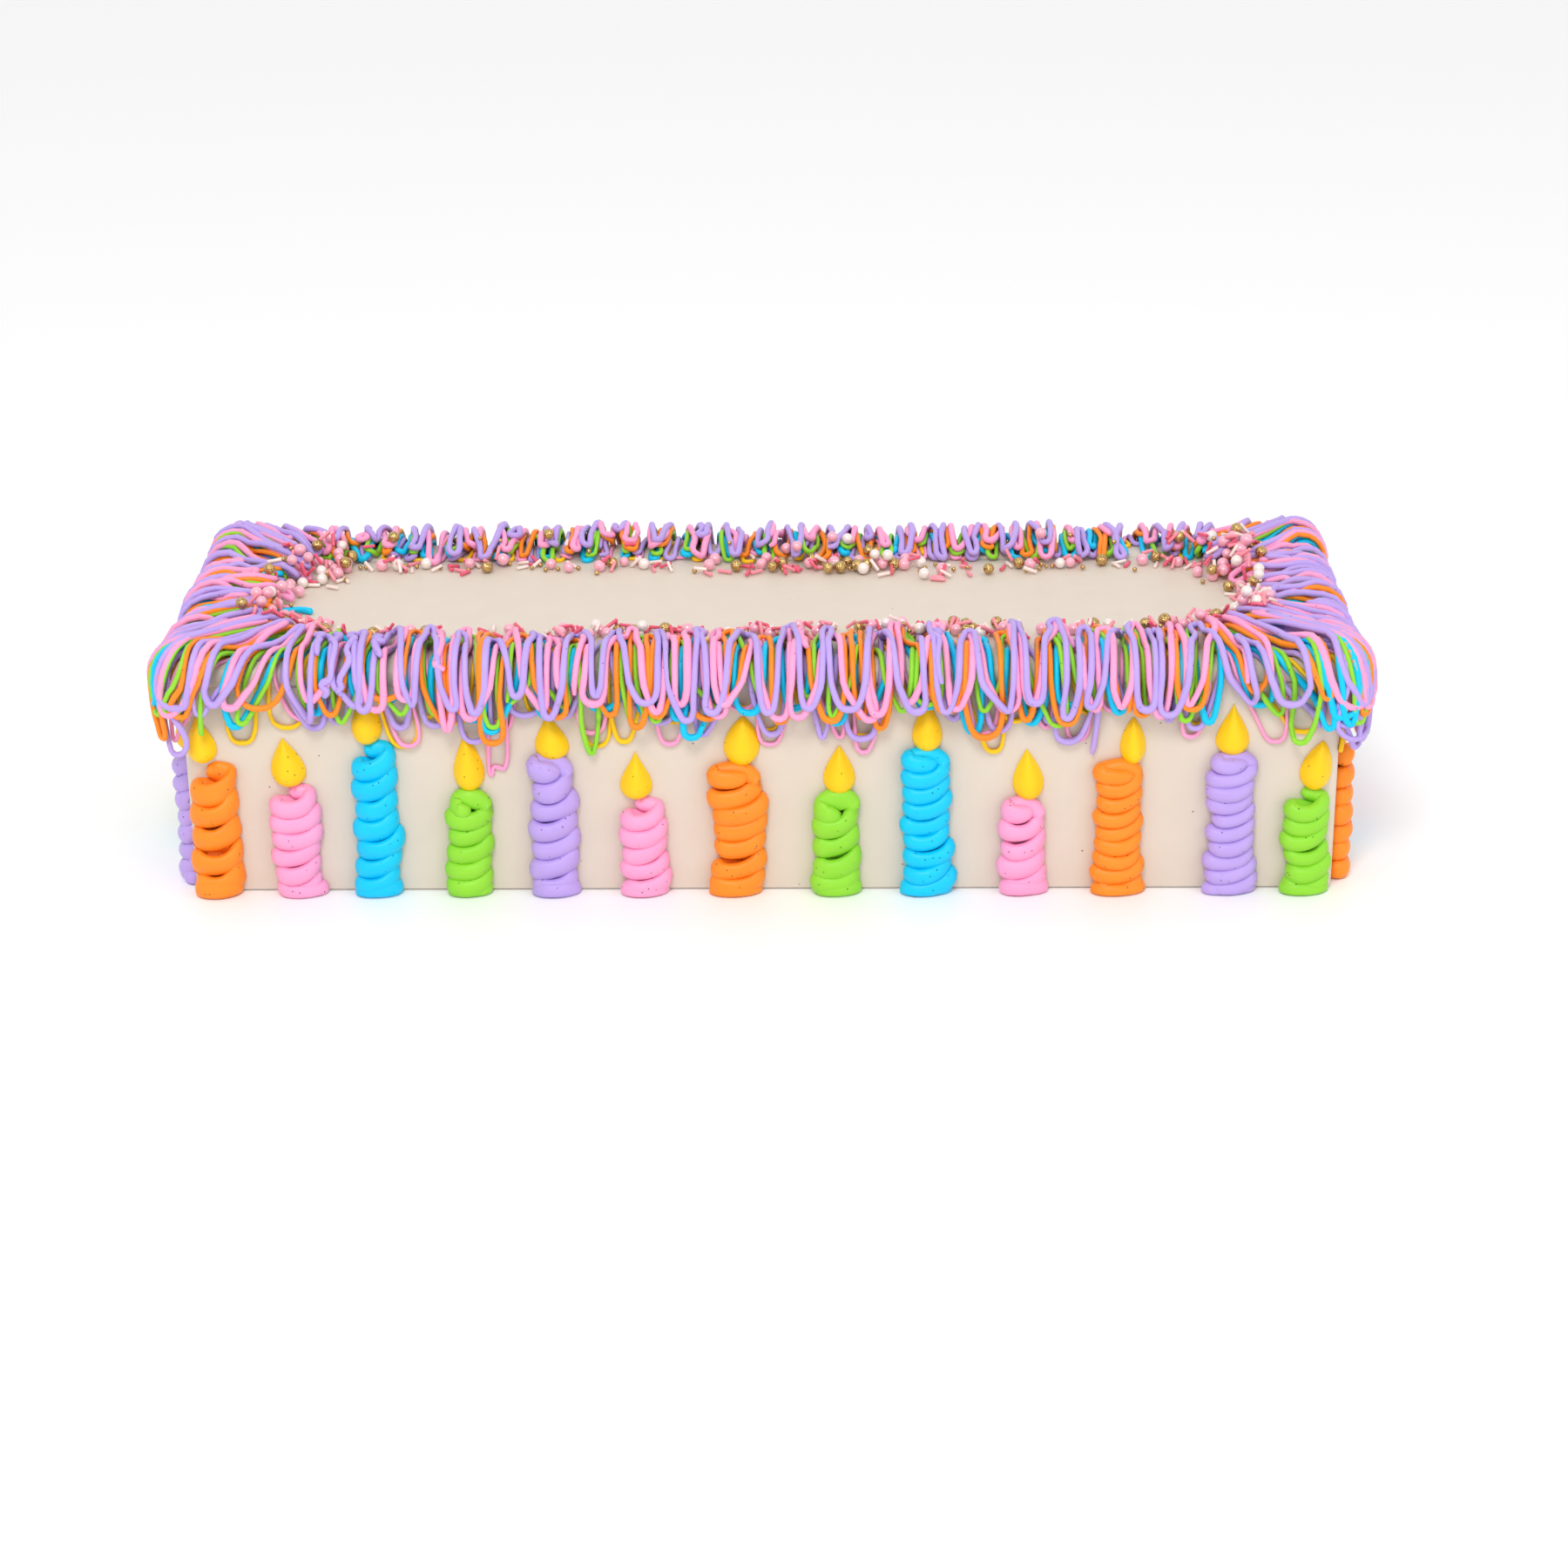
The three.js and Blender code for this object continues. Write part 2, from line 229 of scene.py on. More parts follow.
def buttercream(name, light, shade, pit_spacing, pit_size, pit_share, grain, streak=None):
    """Buttercream, whipped and piped or scraped smooth: butter and sugar give it a soft satin
    face that lets light a little way in, with a faint grain and small burst air bubbles,
    whose pits are darkened with painted shade."""
    material, tree, shader = new_material(
        name, Roughness=0.42, IOR=1.46, Specular_IOR_Level=0.35, Subsurface_Weight=0.12,
        Subsurface_Radius=(1.0, 0.75, 0.6), Subsurface_Scale=1.0 * MM)
    place = add(tree, "ShaderNodeTexCoord").outputs["Object"]
    tone = tones_in(tree, place, light, shade, size=100 / 7, detail=3.0)
    pits = pits_in(tree, place, pit_spacing, pit_size, pit_share)
    # Painted shade: the pits are darkened by multiplying a greyish violet into the icing's tone.
    pits_painted_shade = add(tree, "ShaderNodeMix", {"Factor": pits, "A": tone}, data_type="RGBA",
               blend_type="MULTIPLY", B=linear("#8f8090"))
    tree.links.new(pits_painted_shade.outputs["Result"], shader.inputs["Base Color"])
    fine = add(tree, "ShaderNodeTexNoise", {"Vector": place}, Scale=1000 / grain, Detail=4.0)
    relief = add(tree, "ShaderNodeBump", {"Height": fine.outputs["Fac"]},
                 Strength=0.16, Distance=0.3 * MM)
    if streak:
        stretched = add(tree, "ShaderNodeMapping", {"Vector": place}, Scale=streak)
        pulled = add(tree, "ShaderNodeTexNoise", {"Vector": stretched.outputs["Vector"]},
                     Scale=1000 / SCRAPER_STREAK, Detail=3.0)
        relief = add(tree, "ShaderNodeBump",
                     {"Height": pulled.outputs["Fac"], "Normal": relief.outputs["Normal"]},
                     Strength=0.2, Distance=0.4 * MM)
    holes = add(tree, "ShaderNodeBump", {"Height": pits, "Normal": relief.outputs["Normal"]},
                Strength=0.7, Distance=0.5 * MM, invert=True)
    tree.links.new(holes.outputs["Normal"], shader.inputs["Normal"])
    return material


def candle_icing(name, light, shade):
    return buttercream(name, light, shade, pit_spacing=3.2, pit_size=0.42, pit_share=0.6, grain=1.4)


def string_icing(name, light, shade):
    return buttercream(name, light, shade, pit_spacing=3.6, pit_size=0.36, pit_share=0.5, grain=1.6)


COLOURS = {
    "orange": ("#ff9528", "#fd861c"),
    "pink": ("#fcaad2", "#f99ac6"),
    "blue": ("#00d2fa", "#00bef0"),
    "green": ("#9be03c", "#86d02e"),
    "lavender": ("#c2a8ea", "#b499e0"),
    "yellow": ("#ffd116", "#ffc60e"),
}
CANDLE_ICING = {c: candle_icing(f"buttercream_piped_{c}", *COLOURS[c]) for c in COLOURS}
STRING_ICING = {c: string_icing(f"buttercream_string_{c}", *COLOURS[c]) for c in COLOURS}
WHITE_ICING = buttercream("buttercream_scraped_white", "#ddd1c3", "#d7cabb", pit_spacing=11.0,
                          pit_size=0.45, pit_share=0.6, grain=3.0, streak=(0.05, 0.05, 0.6))


def sugar_pearl(name, light, shade):
    """Sugar beads tumbled in pearl dust: a smooth glossy ball with a soft bright sheen."""
    material, tree, shader = new_material(
        name, Roughness=0.36, Metallic=0.12, Coat_Weight=1.0, Coat_Roughness=0.04, Coat_IOR=1.7,
        Sheen_Weight=0.2)
    place = add(tree, "ShaderNodeTexCoord").outputs["Object"]
    tone = tones_in(tree, place, light, shade, size=2.0)
    tree.links.new(tone, shader.inputs["Base Color"])
    return material


def gold_sugar(name, dent, crack):
    """Sugar beads coated in edible gold: an old-gold metal skin over a ball that is crackled
    at a spacing in millimetres, with painted shade darkening the gold in its cracks."""
    material, tree, shader = new_material(name, Metallic=0.95, Roughness=0.17)
    place = add(tree, "ShaderNodeTexCoord").outputs["Object"]
    crackle = add(tree, "ShaderNodeTexVoronoi", {"Vector": place}, Scale=1000 / crack)
    # A light gold on the crackle's faces and a dark gold in its cracks; the dark gold is painted
    # shade.
    crack_painted_shade = add(tree, "ShaderNodeMix", {"Factor": crackle.outputs["Distance"]}, data_type="RGBA",
               A=linear("#f2d392"), B=linear("#946a2c"))
    tree.links.new(crack_painted_shade.outputs["Result"], shader.inputs["Base Color"])
    relief = add(tree, "ShaderNodeBump", {"Height": crackle.outputs["Distance"]},
                 Strength=dent, Distance=0.4 * MM, invert=True)
    tree.links.new(relief.outputs["Normal"], shader.inputs["Normal"])
    return material


def sugar_stick(name, light, shade):
    """Extruded sugar sticks with a shellac glaze: even colour under a bright gloss."""
    material, tree, shader = new_material(
        name, Roughness=0.3, Coat_Weight=0.4, Coat_Roughness=0.15)
    place = add(tree, "ShaderNodeTexCoord").outputs["Object"]
    tone = tones_in(tree, place, light, shade, size=6.25)
    tree.links.new(tone, shader.inputs["Base Color"])
    return material


# ---- The iced block ----


TOP_BEVEL, FOOT_BEVEL = 0.9, 0.25      # the edges' bevels, as shares of the corner's radius
WAVE = 0.35                            # how far the scraper swings in, in millimetres


def iced_block():
    """The block: a box with crisp scraped corners, a soft top edge and a slightly wavy face."""
    middle = (CAKE_HIGH + CAKE_LOW) / 2 * MM
    block = start_from(bpy.ops.mesh.primitive_cube_add, size=1, location=middle)
    block.scale = (CAKE_HIGH - CAKE_LOW) * MM
    settle(block)
    mark = block.data.attributes.new("bevel_weight_edge", "FLOAT", "EDGE")
    top = CAKE_HEIGHT * MM - 1e-5
    for edge in block.data.edges:
        a, b = (block.data.vertices[i].co for i in edge.vertices)
        upright = abs(a.z - b.z) > 0.01
        on_top = a.z > top and b.z > top
        mark.data[edge.index].value = 1.0 if upright else TOP_BEVEL if on_top else FOOT_BEVEL
    add_modifier(block, "BEVEL", width=CORNER_RADIUS * MM, segments=6, limit_method="WEIGHT")
    cuts = []
    for normal, half, parts in (((1, 0, 0), HALF_LENGTH, 46), ((0, 1, 0), HALF_DEPTH, 14)):
        for i in range(1, parts):
            way = (2 * i / parts - 1) * (half - CORNER_RADIUS) * MM
            cuts.append(((way, way, 0), normal))
    cuts += [((0, 0, i * 0.1 * CAKE_HEIGHT * MM), (0, 0, 1)) for i in range(1, 10)]
    bpy.ops.object.mode_set(mode="EDIT")
    for place, normal in cuts:
        bpy.ops.mesh.select_all(action="SELECT")
        bpy.ops.mesh.bisect(plane_co=place, plane_no=normal)
    bpy.ops.object.mode_set(mode="OBJECT")
    for vertex in block.data.vertices:
        x, y, z = vertex.co / MM
        rise = min(max(z / CAKE_HEIGHT, 0), 1)
        wave = math.sin(x * 0.021 + 0.6) + 0.6 * math.sin(x * 0.047 + y * 0.03)
        if abs(y) > HALF_DEPTH - 0.5:
            vertex.co.y -= math.copysign(WAVE * MM * (1 + wave) * rise, y)
        if z > CAKE_HEIGHT - 0.5:
            vertex.co.z -= 0.3 * MM * (1.2 + wave)
    shade_by_angle(block, 35)
    hand_over(block, "iced_block", WHITE_ICING, "cake_body")


# ---- The piped candles ----

# The front candles from left to right: the turns, the flame's lean, and how the rope of icing
# ends: pulled off to a point, tucked in front as a flat tongue, or curled into a small ball.
FRONT_TURNS = (6, 7, 8, 7, 8, 6, 8, 6, 10, 6, 10, 11, 7)
FRONT_LEAN = (-2, -2, 0, -1, -2, 0, 1, 0, 0, -1, 0, 0, 3)
FRONT_ENDS = ("point", "point", "point", "ball", "tuck", "point", "tuck",
              "ball", "tuck", "tuck", "tuck", "tuck", "point")
OTHER_ENDS = ("point", "tuck", "ball", "tuck")
CLEAR_FLAMES = (1, 2, 4, 6, 7, 8, 10, 11, 13)    # the strings stop short of these tips
TURN_RISE = 7.9          # of the candles on the other walls
FULLNESS = 0.9           # a coil's width, as a share of its box's
ROPE_HALF_WIDE = 3.4
TURN_STATIONS = 30       # stations along one turn of a rope
LEFT_OFF = {"point": 0.08, "tuck": 0.62, "ball": 0.67}    # how much of the last turn is missing
FLAME_SINK = 1.6         # how far a flame's foot is set into its coil
FLAME_PROUD = 6.2


def along_wall(wall, low, high):
    """The middle of a box along its wall, and its width there."""
    quarter = WALLS[wall][1]
    middle = (low + high) / 2
    return (middle[0], middle[1], -middle[0], -middle[1])[quarter], (high - low)[quarter % 2]


def candle_facts(node):
    """Where a candle and its flame stand along their wall, their widths and heights, and how
    the candle is wound."""
    _, wall, number, colour = node.split("_")
    number = int(number)
    low, high = node_box(node)
    along, wide = along_wall(wall, low, high)
    facts = SimpleNamespace(
        wall=wall, number=number, colour=colour, along=along, wide=FULLNESS * wide,
        height=high[2], tip=high[2], flame_node=node, flame_along=along,
        flame_wide=BACK_FLAME_WIDE)
    if wall == "back":
        facts.height -= BACK_FLAME_HIGH
    else:
        facts.flame_node = f"flame_{wall}_{number:02d}"
        low, high = node_box(facts.flame_node)
        facts.flame_along, facts.flame_wide = along_wall(wall, low, high)
        facts.tip = high[2]
    facts.turns = round(facts.height / TURN_RISE + 0.3)
    facts.end = OTHER_ENDS[number % 4]
    if wall == "front":
        facts.turns = FRONT_TURNS[number - 1]
        facts.end = FRONT_ENDS[number - 1]
    return facts


def lipped_oval(half_wide, half_high):
    """The section of a rope of icing: an oval with a fuller lip at its foot."""
    curve = new_curve("section", dimensions="2D")
    spline = curve.splines.new("POLY")
    spline.points.add(19)
    spline.use_cyclic_u = True
    for i, spot in enumerate(spline.points):
        angle = 2 * math.pi * (i + 0.5) / 20
        out, up = math.cos(angle), math.sin(angle)
        side = math.copysign(half_wide * abs(out) ** (0.7 if up < 0 else 1.05), out)
        spot.co = (side * MM, half_high * up * MM, 0, 1)
    return new_object("section", curve)


def wander(rng, places):
    """Smooth unevenness: a random value at each whole number, joined by easy curves."""
    whole = np.floor(places).astype(int)
    share = places - whole
    share = share * share * (3 - 2 * share)
    values = rng.normal(size=whole.max() + 2)
    return values[whole] * (1 - share) + values[whole + 1] * share


def rope(points, radii, tilts, section):
    """A rope of icing along points in millimetres, with a section, as a mesh."""
    curve = new_curve("rope", dimensions="3D", twist_mode="Z_UP", bevel_mode="OBJECT",
                      bevel_object=section, use_fill_caps=True)
    spline = curve.splines.new("POLY")
    spline.points.add(len(points) - 1)
    for spot, place, radius, tilt in zip(spline.points, points, radii, tilts):
        spot.co = (*(Vector(place) * MM), 1)
        spot.radius = radius
        spot.tilt = tilt
    return curve_as_mesh(curve)


def press_flat(obj, foot):
    """Presses what would be inside the cake's wall, or below the foot, flat against them."""
    for vertex in obj.data.vertices:
        vertex.co.y = min(vertex.co.y, 0.8 * MM)
        vertex.co.z = max(vertex.co.z, foot * MM)


def piped_coil(facts, rng):
    """A rope of icing wound up the wall. Each turn passes in front from left to right, sags,
    leans out at its foot over the turn below, turns up round the right side and goes behind."""
    turns, end = facts.turns, facts.end
    rise = facts.height / (turns - (0.3 if end == "point" else 0.84))
    half_high = 0.5 * rise + 0.35
    reach = facts.wide / 2 - 0.9 * ROPE_HALF_WIDE
    count = int((turns - LEFT_OFF[end]) * TURN_STATIONS)
    turn = np.arange(count + 1) / TURN_STATIONS
    phi = 2 * math.pi * turn
    front = np.maximum(np.sin(phi), 0)
    right = np.maximum(-np.cos(phi), 0)
    wide = reach * (1.04 - 0.1 * turn / turns) * (1 + 0.1 * wander(rng, 2 * turn))
    girth = (1 - 0.06 * right) * (1 + 0.05 * wander(rng, 2 * turn + 0.5))
    bob = 0.07 * rise * wander(rng, 2 * turn) * np.minimum(turn, 1)
    sway = 0.55 * wander(rng, turn)
    depth = 0.5 * wander(rng, 2 * turn + 0.5)
    tilt = 0.46 * front + 0.14 * wander(rng, 4 * turn)
    sag = 2.7 + 0.4 * rng.normal()
    x = sway - wide * np.cos(phi)
    y = -(2.6 + 3.1 * np.sin(phi + 0.3)) + depth * front
    z = -0.54 * rise + rise * turn - sag * front + bob
    if end == "point":
        ending = np.clip((turn - (turns - 0.5)) / 0.42, 0, 1)
        x -= (x - sway) * 0.75 * ending ** 1.5
        y = y * (1 - 0.5 * ending) - 1.4 * ending
        z += 0.06 * rise * ending
        girth *= 1 - 0.5 * ending ** 2
    else:
        peek = np.exp(-((turn - (turns - 1.3)) / 0.18) ** 2)
        z += 0.5 * rise * peek
        y -= 2.6 * peek
    if end == "ball":
        closing = np.clip((turn - (turns - 1.2)) / 0.3, 0, 1)
        x += 0.22 * reach * closing * np.cos(phi)
        z -= 0.32 * rise * closing
        girth *= 1 + 0.12 * peek
    near_end = np.maximum(0, (np.arange(count + 1) - count + 5) / 5)
    girth *= np.sqrt(np.maximum(1 - near_end ** 2, 0.01))
    section = lipped_oval(ROPE_HALF_WIDE, half_high)
    coil = rope(np.column_stack([x, y, np.maximum(z, 0.42 * half_high)]), girth, tilt, section)
    bpy.data.objects.remove(section)
    press_flat(coil, 0.15)
    shade_smooth(coil)
    coil.data.transform(wall_matrix(facts.wall)
                        @ Matrix.Translation((facts.along * MM, 0, 0)))
    return coil


def piped_flame(lean, width, height, proud, pinch):
    """A drop of icing squeezed from a round tip and pulled up to a point, with a soft ridge
    down its face where the tip was drawn away. The pinch draws its point out."""
    belly = 0.5 / (0.5 + pinch)
    full = math.sqrt(belly) * (1 - belly) ** pinch
    flame = start_from(bpy.ops.mesh.primitive_uv_sphere_add, segments=40, ring_count=26, radius=1)
    for vertex in flame.data.vertices:
        x, y, z = vertex.co
        ring = math.hypot(x, y) or 1.0
        up = (z + 1) / 2
        drop = math.sqrt(up) * (1 - up) ** pinch / full
        side, face = x / ring, y / ring
        ridge = 1.1 + 1.6 * up
        vertex.co = Vector((
            width / 2 * drop * side + lean * up * up,
            math.copysign(proud * drop ** 0.85 * abs(face) ** ridge, face) - 0.4,
            height * up,
        )) * MM
    press_flat(flame, -5)
    shade_smooth(flame)
    return flame


def candles(rng):
    for node in sorted(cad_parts):
        if not node.startswith("candle"):
            continue
        facts = candle_facts(node)
        coil = piped_coil(facts, rng)
        wall, number = facts.wall, facts.number
        hand_over(coil, f"coil_{wall}_{number:02d}", CANDLE_ICING[facts.colour],
                  node)
        lean = FRONT_LEAN[number - 1] if wall == "front" else rng.normal(0, 1.6)
        foot = facts.height - FLAME_SINK
        flame = piped_flame(lean, facts.flame_wide, facts.tip - foot, FLAME_PROUD,
                            1.3 + 0.16 * rng.normal())
        flame.data.transform(wall_matrix(wall) @ Matrix.Translation(
            (facts.flame_along * MM, 0, foot * MM)))
        hand_over(flame, f"flame_piece_{wall}_{number:02d}", CANDLE_ICING["yellow"],
                  facts.flame_node)


# ---- The rim, unrolled ----
# The strings and sugar beads are placed by three numbers: s, the way round the rim from the
# front wall's left end; v, the way out, from -FRINGE_REACH at the strings' inner ends to 0
# where the top's rounded edge begins, and on over the edge and down the wall; and h, the
# height off the cake's surface.

ARC = CORNER_RADIUS * math.pi / 2
EDGE = EDGE_RADIUS * math.pi / 2
FAN = FRINGE_REACH + INNER_RADIUS - CORNER_RADIUS
WALL_SPANS = np.array([length - 2 * CORNER_RADIUS + ARC for _, _, length in WALLS.values()])
WALL_ENDS = np.concatenate([[0], np.cumsum(WALL_SPANS)])
RIM = float(WALL_SPANS.sum())


def rim_frame(s):
    """At ways s round the rim: the rim's points, the ways out, and the strings' inner ends."""
    s = np.mod(np.asarray(s, float), RIM)
    which = np.clip(np.searchsorted(WALL_ENDS, s, side="right") - 1, 0, 3)
    lengths = np.array([length for _, _, length in WALLS.values()])[which]
    middles = np.array([middle for middle, _, _ in WALLS.values()])[which]
    angle = which * math.pi / 2
    straight = lengths - 2 * CORNER_RADIUS
    local = s - WALL_ENDS[which]
    along = np.minimum(local, straight) - straight / 2
    bend = np.maximum(local - straight, 0) / CORNER_RADIUS
    out = np.stack([np.sin(bend), -np.cos(bend)], -1)
    rim = np.stack([along, np.full_like(along, CORNER_RADIUS)], -1) + out * CORNER_RADIUS
    inner_half = lengths / 2 - FRINGE_REACH - INNER_RADIUS
    past = np.maximum(np.abs(along) - inner_half, 0) + bend * CORNER_RADIUS
    turn = np.sign(along) * (math.pi / 2) * past / (2 * FAN + ARC)
    inner = np.stack([
        np.clip(along, -inner_half, inner_half) + INNER_RADIUS * np.sin(turn),
        FRINGE_REACH + INNER_RADIUS * (1 - np.cos(turn)),
    ], -1)
    cos, sin = np.cos(angle), np.sin(angle)

    def turned(p):
        return np.stack([p[:, 0] * cos - p[:, 1] * sin, p[:, 0] * sin + p[:, 1] * cos], -1)

    return turned(rim) + middles, turned(out), turned(inner) + middles


def lay(s, v, h):
    """Points in space for places s, v, h on the unrolled rim."""
    s, v, h = (np.atleast_1d(np.asarray(a, float)) for a in np.broadcast_arrays(s, v, h))
    rim, out, inner = rim_frame(s)
    edge = rim - out * EDGE_RADIUS
    share = (np.maximum(-v, 0) / FRINGE_REACH)[:, None]
    turn = np.clip(v / EDGE_RADIUS, 0, math.pi / 2)
    flat = edge + (inner - edge) * share + out * ((EDGE_RADIUS + h) * np.sin(turn))[:, None]
    height = CAKE_HEIGHT - EDGE_RADIUS + (EDGE_RADIUS + h) * np.cos(turn) - np.maximum(v - EDGE, 0)
    return np.column_stack([flat, height])


class Pile:
    """How high the strings are piled, on a grid over the unrolled rim. The stretches say how
    long a millimetre of s or v is there in space."""

    CELL = 0.5
    V_LOW = -62.0
    V_HIGH = 50.0

    def __init__(self):
        self.count_s = int(round(RIM / self.CELL))
        self.step_s = RIM / self.count_s
        self.count_v = int((self.V_HIGH - self.V_LOW) / self.CELL)
        self.height = np.zeros((self.count_s, self.count_v))
        self.v = self.V_LOW + (np.arange(self.count_v) + 0.5) * self.CELL
        rim, out, inner = rim_frame((np.arange(self.count_s) + 0.5) * self.step_s)
        edge = rim - out * EDGE_RADIUS
        self.stretch_v = np.linalg.norm(inner - edge, axis=1) / FRINGE_REACH
        outer, innermost = (
            np.linalg.norm(np.roll(p, -1, 0) - np.roll(p, 1, 0), axis=1) / (2 * self.step_s)
            for p in (edge, inner))
        share = np.clip(-self.v / FRINGE_REACH, 0, 1.6)
        self.stretch_s = np.maximum(outer[:, None] * (1 - share) + innermost[:, None] * share, 0.25)

    def cell(self, s, v):
        """The row and column of a place."""
        return (int(s / self.step_s) % self.count_s,
                min(max(int((v - self.V_LOW) / self.CELL), 0), self.count_v - 1))

    def window(self, s, v, radius):
        """The grid cells within a radius of a place, and a ball's dome over them."""
        i, j = self.cell(s, v)
        scale_s = self.stretch_s[i, j] * self.step_s
        scale_v = (self.stretch_v[i] if v < 0 else 1.0) * self.CELL
        span_s = int(radius / scale_s) + 1
        span_v = int(radius / scale_v) + 1
        rows = np.arange(i - span_s, i + span_s + 1) % self.count_s
        columns = np.arange(max(j - span_v, 0), min(j + span_v + 1, self.count_v))
        apart = np.sqrt(((np.arange(-span_s, span_s + 1) * scale_s) ** 2)[:, None]
                        + ((columns - j) * scale_v)[None, :] ** 2)
        dome = np.sqrt(np.maximum(radius ** 2 - apart ** 2, 0))
        return np.ix_(rows, columns), dome, apart < radius

    def rest(self, s, v, radius, press):
        """The height at which a ball's middle comes to rest there, when pressed in a little."""
        cells, dome, inside = self.window(s, v, radius)
        reached = self.height[cells] + press * dome
        return max(float(reached[inside].max(initial=0)), press * radius)

    def cover(self, s, v, middle, radius):
        """Raises the pile over a ball that rests there with its middle at a height."""
        cells, dome, inside = self.window(s, v, radius)
        top = np.where(inside, middle + dome, 0)
        self.height[cells] = np.maximum(self.height[cells], top)

    def keep_strings(self):
        """Remembers how high the strings lie before anything is scattered on them."""
        self.strings = self.height.copy()

    def strings_at(self, s, v):
        return float(self.strings[self.cell(s, v)])


# ---- The strings ----


def rounded(points, step):
    """A smooth line through a row of guide points (a cubic B-spline), sampled every step."""
    points = np.asarray(points, float)
    points = np.vstack([2 * points[0] - points[1], points, 2 * points[-1] - points[-2]])
    line = []
    for a, b, c, d in zip(points, points[1:], points[2:], points[3:]):
        count = max(int(np.linalg.norm(c - b) / step), 1)
        for t in np.arange(count) / count:
            line.append(((1 - t) ** 3 * a + (3 * t ** 3 - 6 * t ** 2 + 4) * b
                         + (-3 * t ** 3 + 3 * t ** 2 + 3 * t + 1) * c + t ** 3 * d) / 6)
    return np.array(line)


# Along the outside of the pile a corner is a wider bend than at the rim, so the strings are
# spaced by the way round the outside and turned to the way round the rim at the end.
WIDE_ARC = (CORNER_RADIUS + 8.0) * math.pi / 2
OUTER_SPANS = WALL_SPANS - ARC + WIDE_ARC
OUTER_ENDS = np.concatenate([[0], np.cumsum(OUTER_SPANS)])
OUTER = float(OUTER_SPANS.sum())


def rim_way(outer_way):
    """The way round the rim for a way round the outside of the pile."""
    marks_outer = np.sort(np.concatenate([OUTER_ENDS, OUTER_ENDS[1:] - WIDE_ARC]))
    marks_rim = np.sort(np.concatenate([WALL_ENDS, WALL_ENDS[1:] - ARC]))
    turns = np.floor(outer_way / OUTER)
    return np.interp(outer_way - turns * OUTER, marks_outer, marks_rim) + turns * RIM


def wall_way(wall, along, spans=WALL_SPANS):
    """The way round the rim of a place along a wall, measured from the wall's middle."""
    k = list(WALLS).index(wall)
    return float(spans[:k].sum()) + WALLS[wall][2] / 2 - CORNER_RADIUS + along


STEEPEST_SLANT = math.radians(62)
CARRY_HEIGHT = 12.5      # the height of the rounded outside that the strings slant over
CARRY_START = -3.0       # the way out, v, where that begins


def corner_fan(way):
    """How deep in a corner's fan a way round the outside is, from 0 to 1, and how far loops
    there slant along the wall for each millimetre down it."""
    corners = OUTER_ENDS[1:] - WIDE_ARC / 2
    gaps = [(c - way + OUTER / 2) % OUTER - OUTER / 2 for c in corners]
    gap = min(gaps, key=abs)
    share = max(0.0, 1 - abs(gap) / (FAN + WIDE_ARC / 2))
    slant = min(math.tan(STEEPEST_SLANT * share ** 0.7), 0.032 * abs(gap))
    return share, math.copysign(slant, gap)


def corner_carry(s, v):
    """How far a string that fans out at a corner is carried towards it, while it goes down
    over the rounded outside of the pile."""
    corners = WALL_ENDS[1:] - ARC / 2
    gaps = (corners[:, None] - s + RIM / 2) % RIM - RIM / 2
    gap = np.take_along_axis(gaps, np.argmin(abs(gaps), axis=0)[None, :], axis=0)[0]
    past = np.maximum(FAN - abs(gap), 0)
    turn = math.pi / 2 * past / (2 * FAN + ARC)
    aside = past - INNER_RADIUS * np.sin(turn)
    ahead = FRINGE_REACH + INNER_RADIUS * (1 - np.cos(turn))
    most = np.minimum(CARRY_HEIGHT * (aside / ahead), 0.4 * abs(gap))
    share = np.clip((v - CARRY_START) / (EDGE - 2 * CARRY_START), 0, 1)
    return np.sign(gap) * most * share * share * (3 - 2 * share)


def wall_number(way):
    """Which wall a way round the outside is on."""
    return int(np.searchsorted(OUTER_ENDS[1:], way % OUTER, side="right")) % 4


def reach_share(way):
    """The strings reach in less far over the back of the top."""
    _, _, low, high, _ = OUTER_ENDS
    return float(np.interp(way % OUTER, [low - 10, low + 45, high - 45, high + 10],
                           [1, 0.77, 0.77, 1]))


def flame_marks():
    """Each candle's facts, with its flame's place on the way round the outside."""
    facts = [candle_facts(node) for node in sorted(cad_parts) if node.startswith("candle")]
    return [(f, wall_way(f.wall, f.flame_along, OUTER_SPANS)) for f in facts]


FLAME_MARKS = flame_marks()


def scribble(rng, place, strokes, foot):
    """A string squeezed out in small wiggles, from 14 mm in on the top down over the edge."""
    return [(place + (2.4, -2.4)[i % 2] + 1.2 * rng.normal() + 2.5 * math.sin(i / 3.0),
             -14 + (foot + 14) * i / (2 * strokes) + 1.2 * rng.normal())
            for i in range(2 * strokes + 1)]


def near_one(rng, spread, lowest):
    """A random factor of about 1."""
    return min(max(1 + spread * rng.normal(), lowest), 1.6)


WIDER = 1.6                     # a wide loop, as a share of its usual width
NARROW_SHARE, NARROWER = 0.12, 0.45
FLAME_ROOM = 7                  # half the width of wall that a flame takes up
CLEAR_GAP = 4                   # between a loop and the tip of a clear flame
EARLY_PINS = (5, 22)            # how far in from the edge the early hairpins turn


